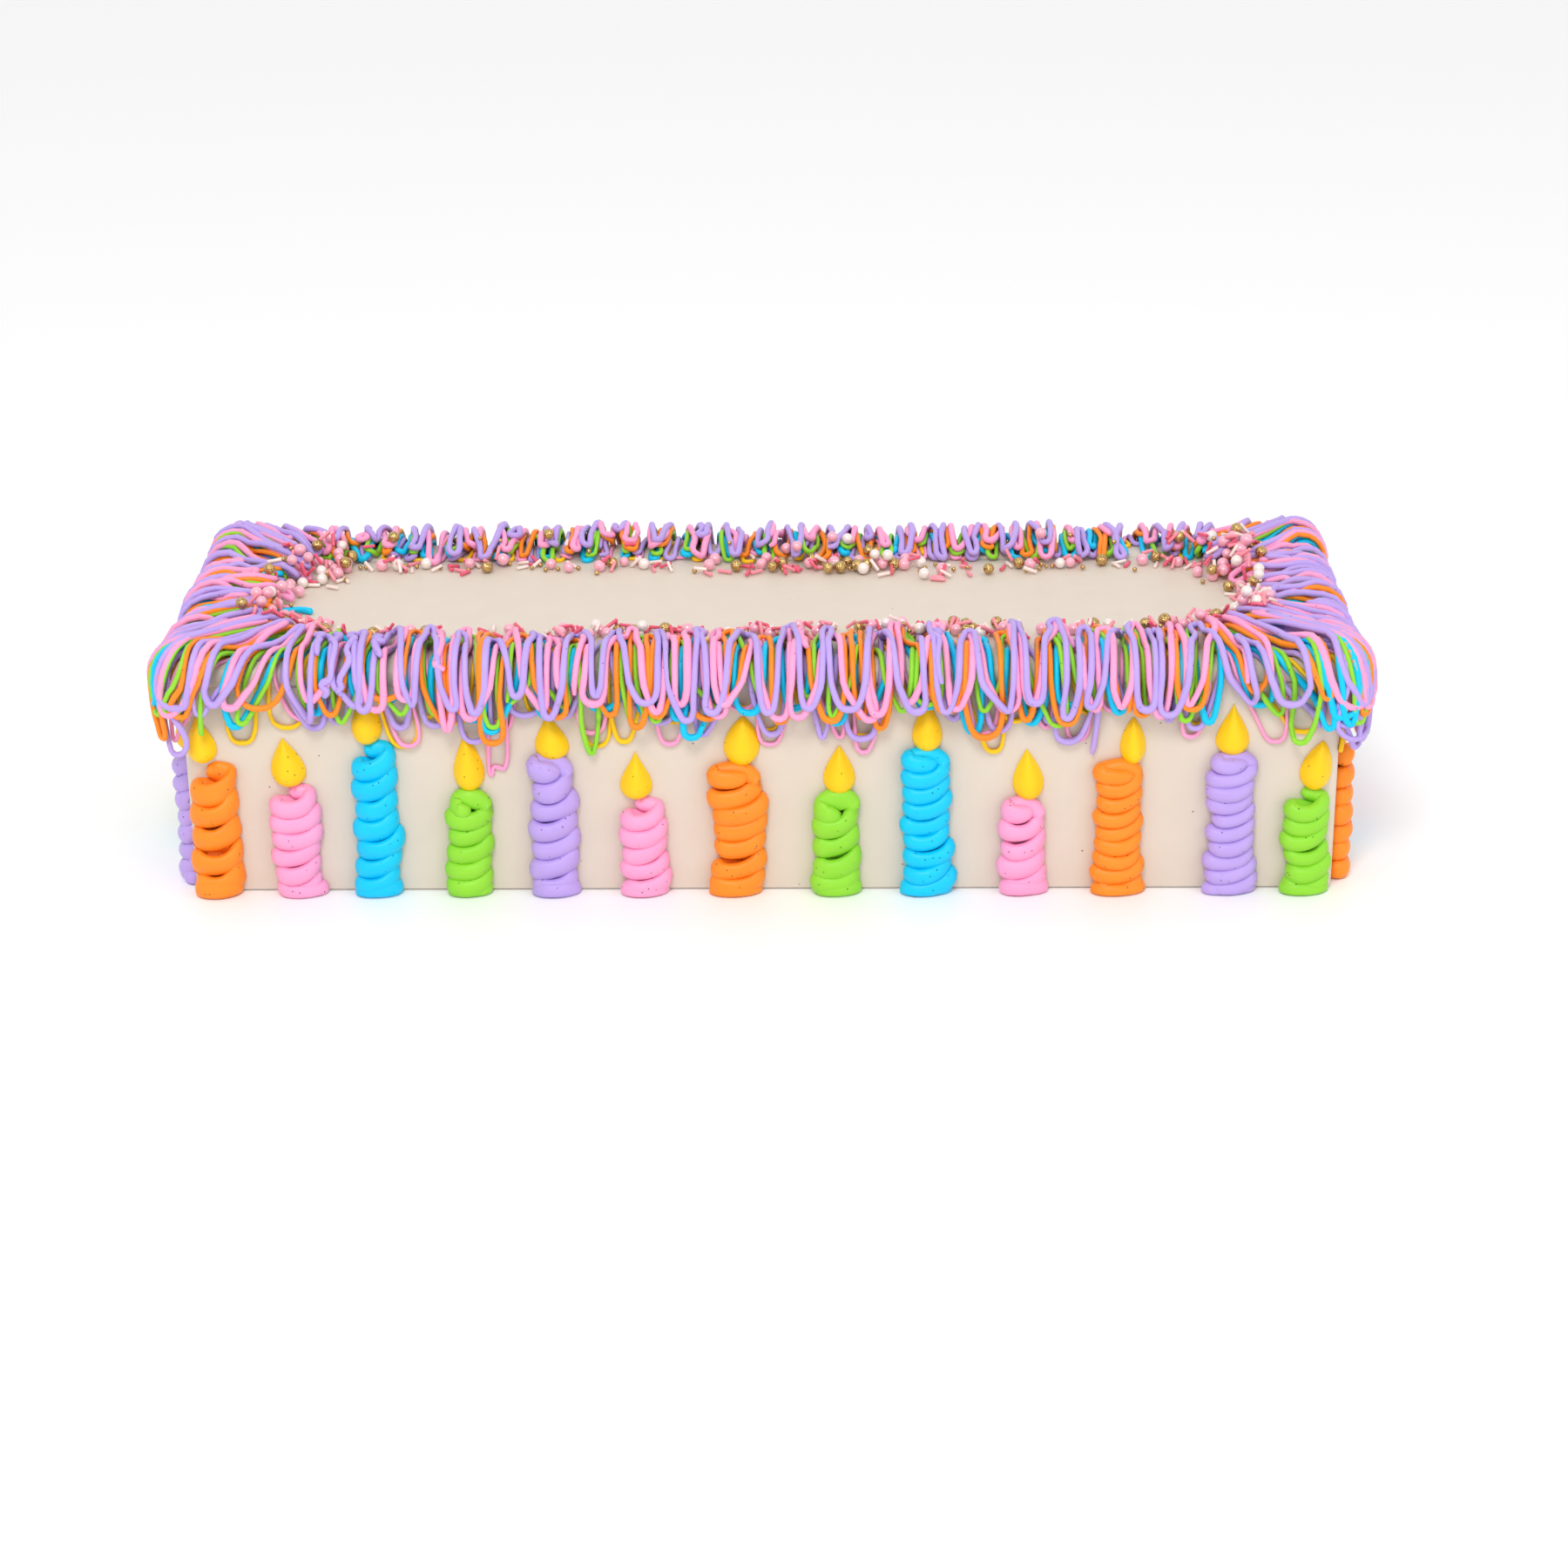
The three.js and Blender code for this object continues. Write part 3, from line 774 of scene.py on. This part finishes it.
def string_guides(rng, kind):
    """Guide points of a kind of string: it goes to and fro over the rim, from hairpins on the
    top to loops down the wall. Most loops end near the tip of a flame below them, and none
    comes down to a clear flame. A few loops are narrow or cut through, a few hairpins turn
    early, near the edge, and the loops hang less evenly on the end walls. Each loop with a
    place of its own takes the turn of the one that would be nearest to it."""
    pieces, guides = [], []
    placed = list(kind.placed)
    s = rng.uniform(0, kind.pitch)
    end = s + OUTER - kind.pitch
    pin, inner = s - kind.pitch / 2, kind.inner
    while s < end:
        fan, slant = corner_fan(s)
        pitch = kind.pitch * (1 + 0.6 * fan) * near_one(rng, 0.27, 0.5)
        loop = kind.loop * (1 + 0.25 * fan) * near_one(rng, 0.25, 0.6)
        if rng.random() < kind.wide:
            loop *= WIDER
        if rng.random() < NARROW_SHARE:
            loop *= NARROWER
        loop = min(loop, 0.48 * pitch)
        wall = wall_number(s)
        drop = kind.drop + kind.uneven * rng.normal()
        if wall in (RIGHT, LEFT):
            drop = max(0.8 * kind.drop + 2.2 * (drop - kind.drop), 1.5)
        sway = 1.5 if wall == FRONT else 2.2
        lift = kind.over + 1.2 * rng.normal()
        centre = s + 2.8 * rng.normal()
        hanging = centre + slant * drop
        hanging += float(corner_carry(rim_way(np.array([hanging])), np.array([drop]))[0])
        for facts, place in FLAME_MARKS:
            if abs(hanging - place) < FLAME_ROOM + loop:
                is_clear = facts.wall == "front" and facts.number in CLEAR_FLAMES
                drop = min(drop, CAKE_HEIGHT - facts.tip + (-CLEAR_GAP if is_clear else lift))
        for own in placed:
            if abs(s - own[0]) < pitch / 2:
                centre, drop, loop = own
                placed.remove(own)
                slant = 0.0
                break
        bottom = drop + EDGE - EDGE_RADIUS
        middle = centre + slant * bottom
        is_cut = rng.random() < kind.cuts
        for a, place in zip((-1, 1), ((pin, inner), None)):
            if place is None:
                inner = kind.inner + kind.inner_uneven * rng.normal()
                if rng.random() < kind.early * (1 - fan):
                    inner = rng.uniform(*EARLY_PINS)
                inner *= reach_share(s)
                pin = s + pitch / 2 + 1.0 * rng.normal()
                if is_cut:
                    pieces.append(guides)
                    guides = []
                else:
                    guides += [(middle - 0.66 * loop, bottom + 0.5),
                               (middle + 0.66 * loop, bottom + 0.5)]
                place = (pin, inner)
            tight = rng.uniform(0.8, 2.6) * (1 + fan)
            top = (place[0] - a * tight, 4 - place[1])
            low = (middle + a * loop, bottom - 1.1 * loop)
            if is_cut:
                low = (middle + 0.8 * a * loop, bottom - 4 + 3 * rng.normal())
            bend = 1.9 - 0.6 * fan
            leg = [top, *((top[0] + (low[0] - top[0]) * t ** bend + sway * rng.normal(),
                           top[1] + (low[1] - top[1]) * t) for t in (0.34, 0.68)), low]
            guides += leg if a < 0 else leg[::-1]
        hook = rng.uniform(1.0, 3.4)
        guides += [(pin - hook, -inner - 0.5), (pin + hook, -inner - 0.5)]
        s += pitch
        if rng.random() < kind.breaks:
            pieces.append(guides)
            guides = []
    pieces.append(guides)
    for scribbled in kind.scribbles:
        pieces.append(scribble(rng, *scribbled))
    pieces.extend(kind.loose)
    return [np.column_stack([rim_way(p[:, 0]), p[:, 1]]) for p in map(np.array, pieces)
            if len(p) > 5]


LAID_AT_ONCE = 42               # points of a string laid before the pile rises under them
EASED_AGAIN = 14                # points before those that are bridged once more
WALL_SLOPE, TOP_SLOPE = 0.16, 0.75
HIGH, SUNK = 8.5, 0.62          # above this height, strings keep this share of their rise


def drape(pile, line, radius, press):
    """Heights for a string laid on the pile along a line of s, v places. The string bridges
    gaps, and hangs straight down from the pile's edge."""
    step = np.linalg.norm(np.diff(line, axis=0), axis=1)
    heights = np.zeros(len(line))
    waiting = []
    for start in range(0, len(line), LAID_AT_ONCE):
        stop = min(start + LAID_AT_ONCE, len(line))
        for i in range(start, stop):
            heights[i] = pile.rest(line[i, 0], line[i, 1], radius, press)
        low = max(start - EASED_AGAIN, 0)
        part = heights[low:stop].copy()
        slope = np.where(line[low:stop, 1] > 4, WALL_SLOPE, TOP_SLOPE)
        for i in range(1, len(part)):
            part[i] = max(part[i], part[i - 1] - slope[i] * step[low + i - 1])
        for i in range(len(part) - 2, -1, -1):
            part[i] = max(part[i], part[i + 1] - slope[i] * step[low + i])
        padded = np.pad(part, 3, mode="edge")
        part = np.convolve(padded, np.array([1, 2, 3, 4, 3, 2, 1]) / 16, mode="valid")
        part = np.where(part > HIGH, HIGH + SUNK * (part - HIGH), part)
        heights[start:stop] = part[start - low:]
        for i in waiting:
            pile.cover(line[i, 0], line[i, 1], heights[i], radius)
        waiting = list(range(start, stop))
    for i in waiting:
        pile.cover(line[i, 0], line[i, 1], heights[i], radius)
    return heights


FARTHEST, CLOSEST, BEND = 3.4, 0.7, 0.3       # between kept points, in millimetres and radians


def thinned(points):
    """Keeps the points that the line's bends need."""
    keep = [0]
    travelled, turned = 0.0, 0.0
    for i in range(1, len(points) - 1):
        a = points[i] - points[i - 1]
        b = points[i + 1] - points[i]
        travelled += np.linalg.norm(a)
        cosine = np.dot(a, b) / (np.linalg.norm(a) * np.linalg.norm(b) + 1e-9)
        turned += math.acos(min(max(cosine, -1), 1))
        if travelled > FARTHEST or (turned > BEND and travelled > CLOSEST):
            keep.append(i)
            travelled, turned = 0.0, 0.0
    keep.append(len(points) - 1)
    return points[keep]


def swell(line, rng):
    """How thick a string is along its line: uneven, and fuller round the bottom of a loop,
    where the hand slowed down to turn."""
    step = np.gradient(line, axis=0)
    steep = abs(step[:, 1]) / (np.linalg.norm(step, axis=1) + 1e-9)
    turning = np.convolve((1 - steep) * (line[:, 1] > 5), np.ones(5) / 5, mode="same")
    return 0.96 + 0.08 * wander(rng, np.arange(len(line)) / 9) + 0.22 * turning


def lay_strings(name, kind, pile, rng):
    """One kind of string, laid all round the rim on what is already piled there."""
    curve = new_curve(name, dimensions="3D", bevel_depth=kind.radius * MM,
                      bevel_resolution=2, use_fill_caps=True)
    for guides in string_guides(rng, kind):
        line = rounded(guides, 0.9)
        line[:, 0] += corner_carry(line[:, 0], line[:, 1])
        heights = drape(pile, line, kind.radius, kind.press)
        points = lay(line[:, 0], line[:, 1], heights)
        for _ in range(2):
            points[1:-1] = (points[:-2] + 2 * points[1:-1] + points[2:]) / 4
        points = thinned(np.column_stack([points, swell(line, rng)]))
        spline = curve.splines.new("POLY")
        spline.points.add(len(points) - 1)
        for spot, (x, y, z, size) in zip(spline.points, points):
            spot.co = (x * MM, y * MM, z * MM, 1)
            spot.radius = size
        spline.points[0].radius = spline.points[-1].radius = 0.6
    strings = curve_as_mesh(curve)
    shade_smooth(strings)
    hand_over(strings, name, STRING_ICING[kind.colour], "string_fringe")


def string_kinds():
    """The kinds of string in the order they were piped, the lowest first. The loops with a
    place of their own have their middle along the front wall, their drop and half width; the
    scribbles their place, strokes and foot; and the loose strings their guide points."""
    front = wall_way("front", 0, OUTER_SPANS)
    left = wall_way("left", 0, OUTER_SPANS)
    corner = OUTER_ENDS[1] - WIDE_ARC / 2

    def beside(start, *rows):
        return [(start + along, *rest) for along, *rest in rows]

    knotted = beside(
        front, (-119, -22), (-116, -8), (-113.6, 10), (-113.4, 30), (-113.4, 44), (-114, 48.5),
        (-112.4, 51.5), (-111.6, 48.5), (-112.6, 45.6), (-110, 45.6), (-107.4, 48.4),
        (-105.4, 45), (-105.2, 30), (-105.4, 10), (-103, -8), (-101, -22))
    free_end = beside(
        front, (144, -20), (141.5, -6), (140, 8), (139.6, 22), (139, 34), (137.8, 42))
    hanging_end = beside(
        front, (-214, -24), (-217, -10), (-220.5, 3), (-223, 10), (-224.5, 17), (-225, 29))
    corner_loop = beside(
        corner, (-9, -16), (-7, 0), (-11, 18), (-12, 27), (-5, 33), (5, 33), (12, 27), (10, 14),
        (6, 0), (8, -16))
    corner_drop = beside(
        corner, (-12, -18), (-10, -6), (-11, 8), (-10.5, 22), (-8, 26), (-5, 22), (-5.6, 8),
        (-3, -6), (-1, -18))
    on_the_top = beside(
        left, (7, -22), (9, -27), (12, -32), (11, -37), (9, -42), (11, -47), (13, -50))
    kinds = {
        "strings_yellow": dict(
            colour="yellow", radius=0.95, pitch=17.5, loop=5.0, drop=25, uneven=4.5,
            placed=beside(front, (97, 38, 4.5), (-210.5, 33, 5), (-148.5, 35, 7), (-68, 35, 6),
                          (4, 28, 5))),
        "strings_thin_pink": dict(
            colour="pink", radius=0.95, pitch=17, loop=4.8, drop=28, uneven=4.5, inner=26,
            placed=beside(front, (-146.6, 34, 6), (-37.5, 34, 5), (4, 34.5, 5.5), (43, 38, 3.5),
                          (131.6, 33, 5), (208.5, 34, 4)),
            loose=[knotted]),
        "strings_low_lavender": dict(
            colour="lavender", radius=1.3, pitch=17, loop=4.4, drop=25.5, uneven=4,
            placed=beside(front, (-118.6, 31.5, 6), (5, 29, 4.5), (128, 33, 7)),
            loose=[free_end, corner_loop]),
        "strings_blue": dict(
            colour="blue", radius=1.4, loop=4.0, drop=21.5, uneven=3.6, early=0.15, cuts=0.04,
            scribbles=beside(front, (-91, 5, 9)),
            placed=beside(front, (-110.8, 25, 4.2), (-28, 29, 4.5), (157.8, 24, 5)),
            loose=[corner_drop, on_the_top]),
        "strings_green": dict(
            colour="green", radius=1.15, loop=3.0, drop=17.5, uneven=3.5, inner=28, early=0.15,
            cuts=0.06, placed=beside(front, (-70, 37, 1.5), (122.7, 24, 4), (216, 31, 3)),
            loose=[hanging_end]),
        "strings_orange": dict(
            colour="orange", radius=1.25, loop=3.7, drop=20, uneven=4.2, inner=28,
            inner_uneven=3, early=0.2, cuts=0.02, placed=beside(front, (-110.4, 30, 5.5))),
        "strings_pink": dict(
            colour="pink", radius=1.5, loop=3.2, drop=16, uneven=3.2, inner=29,
            inner_uneven=4, early=0.28, cuts=0.04, over=3.5, wide=0.25,
            placed=beside(front, (-129, 24, 1.6)),
            scribbles=beside(front, (-134, 4, 6), (16, 3, 3))),
        "strings_lavender": dict(
            colour="lavender", radius=1.48, loop=2.8, drop=14.8, uneven=3.2, inner=30,
            inner_uneven=4, early=0.3, cuts=0.03, over=2.5, wide=0.25,
            scribbles=beside(front, (-177, 7, 12), (-171, 6, 11), (-184, 4, 4), (-160, 4, 2),
                             (72, 4, 5))),
    }
    usual = dict(pitch=16.5, inner=27, inner_uneven=2, wide=0.2, early=0.1, cuts=0.0, breaks=0.03,
                 over=0.5, press=0.8, placed=(), scribbles=(), loose=())
    return {name: SimpleNamespace(**{**usual, **kind}) for name, kind in kinds.items()}


def mark_flames(pile):
    """The tall flames stand in the way of the strings, so the strings pass over them."""
    for facts, _ in FLAME_MARKS:
        middle = wall_way(facts.wall, facts.flame_along)
        for z in np.arange(facts.height, facts.tip, 0.5):
            up = (z - facts.height) / (facts.tip - facts.height)
            half = 6.8 * math.sqrt(max(1 - up, 0)) * min(1, 0.6 + 2 * up)
            proud = 6.4 * (1 - 0.6 * up)
            column = int((CAKE_HEIGHT - z + EDGE - EDGE_RADIUS - pile.V_LOW) / pile.CELL)
            if 0 <= column < pile.count_v:
                first, last = (int((middle + a) / pile.step_s) for a in (-half, half))
                rows = np.arange(first, last + 1) % pile.count_s
                pile.height[rows, column] = np.maximum(pile.height[rows, column], proud)


def fringe_core(pile):
    """A low band of white icing that the strings were piped on, from the top over the edge."""
    stations = np.arange(0, RIM, 2.5)
    v = np.array([-19, -16, -11, 0, 4, 9, 11])
    h = np.array([-0.6, 0.8, 1.3, 1.4, 1.3, 1.0, -0.6])
    points = np.vstack([lay(s, v, h) for s in stations])
    rings = [(i * len(v), (i + 1) % len(stations) * len(v)) for i in range(len(stations))]
    sides = [(j, (j + 1) % len(v)) for j in range(len(v))]
    faces = [(a + j, b + j, b + k, a + k) for a, b in rings for j, k in sides]
    core = mesh_object("fringe_core", points, faces)
    shade_smooth(core)
    bpy.ops.object.mode_set(mode="EDIT")
    bpy.ops.mesh.select_all(action="SELECT")
    bpy.ops.mesh.normals_make_consistent(inside=False)
    bpy.ops.object.mode_set(mode="OBJECT")
    hand_over(core, "fringe_core", WHITE_ICING, "string_fringe")
    pile.height = np.maximum(pile.height, np.interp(pile.v, v, np.maximum(h, 0)))


# ---- Sugar beads and sticks ----


def prototype(obj):
    """A small shape's points, as rows, and its faces; the shape itself is removed."""
    points = np.array([v.co for v in obj.data.vertices]) / MM
    faces = [tuple(face.vertices) for face in obj.data.polygons]
    bpy.data.objects.remove(obj)
    return points, faces


def ball_shape(radius, segments, rings):
    return prototype(start_from(bpy.ops.mesh.primitive_uv_sphere_add, segments=segments,
                                ring_count=rings, radius=radius * MM))


def stick_shape(radius, length):
    stick = start_from(bpy.ops.mesh.primitive_cylinder_add, vertices=10, radius=radius * MM,
                       depth=length * MM)
    add_modifier(stick, "BEVEL", width=0.22 * radius * MM, segments=2, limit_method="ANGLE")
    return prototype(stick)


def star_shape(radius, thick):
    """A flat five-pointed sugar star."""
    star = start_from(bpy.ops.mesh.primitive_cylinder_add, vertices=10, radius=radius * MM,
                      depth=thick * MM)
    for i, vertex in enumerate(star.data.vertices):
        if (i // 2) % 2:
            vertex.co.x *= 0.5
            vertex.co.y *= 0.5
    add_modifier(star, "BEVEL", width=0.25 * MM, segments=2, limit_method="ANGLE")
    return prototype(star)


BEAD_LINE = -FRINGE_REACH - 3.5      # the way out, v, that the beads keep to
CLUMPS = 46
IN_CLUMPS = 0.7                      # the share of beads that lie in a clump
ON_BACK_STRINGS = 0.2                # the share at the back that lies out on the strings


def scatter_spots(rng, count, spread, clumps, at_front):
    """Places along the strings' inner ends: most in clumps, on the bare top beside the
    strings or on the strings themselves, and thicker at the back and at the right end."""
    shares = np.array([at_front, 1.7, 1.15, 1.0]) * WALL_SPANS
    spots = []
    for _ in range(count):
        wall = rng.choice(4, p=shares / shares.sum())
        s = WALL_ENDS[wall] + rng.uniform(0, WALL_SPANS[wall])
        v = BEAD_LINE + spread * rng.normal()
        if rng.random() < IN_CLUMPS:
            clump = clumps[np.argmin(abs((clumps[:, 0] - s + RIM / 2) % RIM - RIM / 2))]
            s = clump[0] + 8 * rng.normal()
            v = clump[1] + 0.7 * spread * rng.normal()
        if wall == BACK and rng.random() < ON_BACK_STRINGS:
            v += 9
        if wall == FRONT:
            v -= 4
        spots.append((s % RIM, min(max(v, -47), -8)))
    return spots


def on_the_ridge(pile, s, v):
    """Whether a place is high on the front strings' ridge, where no bead would stay."""
    return s % RIM < WALL_SPANS[0] and pile.strings_at(s % RIM, v) > 4.5


def lay_stick(pile, s, v, turn, radius, length):
    """A stick's place and turn in space, resting on its ends or on its middle."""
    along = np.array([math.cos(turn), math.sin(turn)]) * (length / 2 - radius)
    stretch = max(float(pile.stretch_s[pile.cell(s, v)[0], 40]), 0.5)
    ends = [np.array([s + side * along[0] / stretch, v + side * along[1]]) for side in (-1, 1)]
    rests = [pile.rest(*end, radius, 1.0) for end in ends]
    lift = max(0.0, pile.rest(s, v, radius, 1.0) - sum(rests) / 2)
    a, b = (lay(*end, rest + lift)[0] for end, rest in zip(ends, rests))
    for t in (0.0, 0.25, 0.5, 0.75, 1.0):
        spot = ends[0] * (1 - t) + ends[1] * t
        pile.cover(*spot, rests[0] * (1 - t) + rests[1] * t + lift, radius)
    return (a + b) / 2, Vector(b - a).normalized().to_track_quat("Z", "Y").to_matrix()


def scattered(name, shape, spots, radius, material, pile, rng, length):
    """Copies of a small shape, dropped one by one on what is already there: each tries places
    near its spot until it lies low, and is left out where it would lie on a heap."""
    base, faces = shape
    points, all_faces = [], []
    for s, v in spots:
        tries = [(s, v)] + [(s + 5 * rng.normal(), v + 3.5 * rng.normal()) for _ in range(12)]
        rises = [pile.rest(a % RIM, b, radius, 1.0) - pile.strings_at(a % RIM, b)
                 + 20 * on_the_ridge(pile, a, b) for a, b in tries]
        lowest = int(np.argmin(rises))
        pick = next((i for i, r in enumerate(rises) if r < 1.3 * radius + 0.6), lowest)
        if rises[pick] > 2.2 * radius + 1.5:
            continue
        s, v = tries[pick][0] % RIM, tries[pick][1]
        turn = rng.uniform(0, 2 * math.pi)
        if length:
            place, spin = lay_stick(pile, s, v, turn, radius, length)
        else:
            high = pile.rest(s, v, radius, 0.97)
            place = lay(s, v, high)[0]
            pile.cover(s, v, high, radius)
            spin = Matrix.Rotation(turn, 3, "Z") @ Matrix.Rotation(rng.uniform(0, 3), 3, "X")
        size = 1 + 0.06 * rng.normal()
        start = len(points)
        points.extend(base @ np.array(spin).T * size + place)
        all_faces.extend(tuple(i + start for i in face) for face in faces)
    obj = mesh_object(name, points, all_faces)
    shade_by_angle(obj, 50)
    hand_over(obj, name, material, "string_fringe")


def sprinkles(pile, rng):
    pile.keep_strings()
    pink_pearl = sugar_pearl("pearl_sugar_pink", "#f9b4c6", "#f3a0b6")
    white_pearl = sugar_pearl("pearl_sugar_white", "#f5ebe6", "#ebdcd4")
    gold = gold_sugar("gold_leaf_sugar", 0.6, crack=10 / 13)
    gold_small = gold_sugar("gold_leaf_sugar_small", 0.3, crack=10 / 22)
    rose = sugar_stick("glazed_sugar_rose", "#ee5f7c", "#e04a68")
    pale = sugar_stick("glazed_sugar_pale_pink", "#f99aa8", "#f28697")
    white = sugar_stick("glazed_sugar_white", "#f6e6de", "#f0d8cf")
    clumps = np.column_stack([
        (np.arange(CLUMPS) + rng.uniform(0.1, 0.9, CLUMPS)) * RIM / CLUMPS,
        BEAD_LINE + 2.5 * rng.normal(size=CLUMPS),
    ])
    ball, dot = ball_shape(2.5, 20, 14), ball_shape(1.05, 14, 10)
    star, stick = star_shape(3.2, 1.6), stick_shape(0.8, 5.9)
    for name, shape, radius, count, spread, at_front, material, slot, length in (
        ("pearls_pink", ball, 2.5, 112, 3.0, 0.9, pink_pearl, "sugar_pearl", 0),
        ("gold_beads", ball, 2.5, 56, 3.0, 0.9, gold, "sugar_gold", 0),
        ("pearls_white", ball, 2.5, 44, 3.0, 0.9, white_pearl, "sugar_pearl", 0),
        ("gold_dots", dot, 1.05, 135, 4.5, 0.9, gold_small, "sugar_gold", 0),
        ("sugar_stars", star, 1.0, 5, 4.0, 0.9, rose, "sugar_sticks", 0),
        ("sticks_rose", stick, 0.8, 150, 4.0, 1.7, rose, "sugar_sticks", 5.9),
        ("sticks_pale_pink", stick, 0.8, 150, 4.0, 1.7, pale, "sugar_sticks", 5.9),
        ("sticks_white", stick, 0.8, 110, 4.0, 1.7, white, "sugar_sticks", 5.9),
    ):
        spots = scatter_spots(rng, count, spread, clumps, at_front)
        scattered(name, shape, spots, radius, material, pile, rng, length)


# ---- Stage, light and camera ----


def stage_and_light():
    floor = start_from(bpy.ops.mesh.primitive_plane_add, size=12, location=(0, 2, -0.4 * MM))
    floor.name = "floor"
    floor.data.materials.append(
        new_material("pale_floor", Base_Color=linear("#ffffff"), Roughness=0.5)[0])
    world = bpy.data.worlds.new("studio")
    bpy.context.scene.world = world
    world.use_nodes = True
    background = world.node_tree.nodes["Background"]
    background.inputs["Color"].default_value = linear("#ffffff")
    background.inputs["Strength"].default_value = 0.9
    for name, place, size, power in (
        ("key", (-0.2, -1.25, 1.5), 0.5, 12),
        ("fill", (1.3, -1.3, 0.9), 1.2, 3.5),
    ):
        lamp = bpy.data.lights.new(name, "AREA")
        lamp.size = size
        lamp.energy = power
        light = new_object(name, lamp)
        light.location = place
        aim = Vector((0, 0, 0.05)) - Vector(place)
        light.rotation_euler = aim.to_track_quat("-Z", "Y").to_euler()


def place_camera():
    """A long lens a good metre in front of the cake, looking down on it."""
    pitch, yaw, roll = (math.radians(a) for a in (22.96, -0.98, -0.58))
    ahead = Vector((math.sin(yaw) * math.cos(pitch), math.cos(yaw) * math.cos(pitch),
                    -math.sin(pitch)))
    level = Vector((math.cos(yaw), -math.sin(yaw), 0))
    above = level.cross(ahead)
    right = math.cos(roll) * level + math.sin(roll) * above
    up = -math.sin(roll) * level + math.cos(roll) * above
    data = bpy.data.cameras.new("camera")
    data.sensor_width = 36
    data.lens = 75.96
    camera = new_object("camera", data)
    turn = Matrix((right, up, -ahead)).transposed().to_4x4()
    camera.matrix_world = Matrix.Translation((0.0315, -1.3522, 0.5883)) @ turn
    bpy.context.scene.camera = camera


# ---- Making the cake ----

place_camera()
stage_and_light()
bpy.context.scene.view_settings.view_transform = "Standard"

iced_block()
candles(np.random.default_rng(11))

pile = Pile()
fringe_core(pile)
mark_flames(pile)
string_rng = np.random.default_rng(5)
for string_name, string_kind in string_kinds().items():
    lay_strings(string_name, string_kind, pile, string_rng)

sprinkles(pile, np.random.default_rng(23))
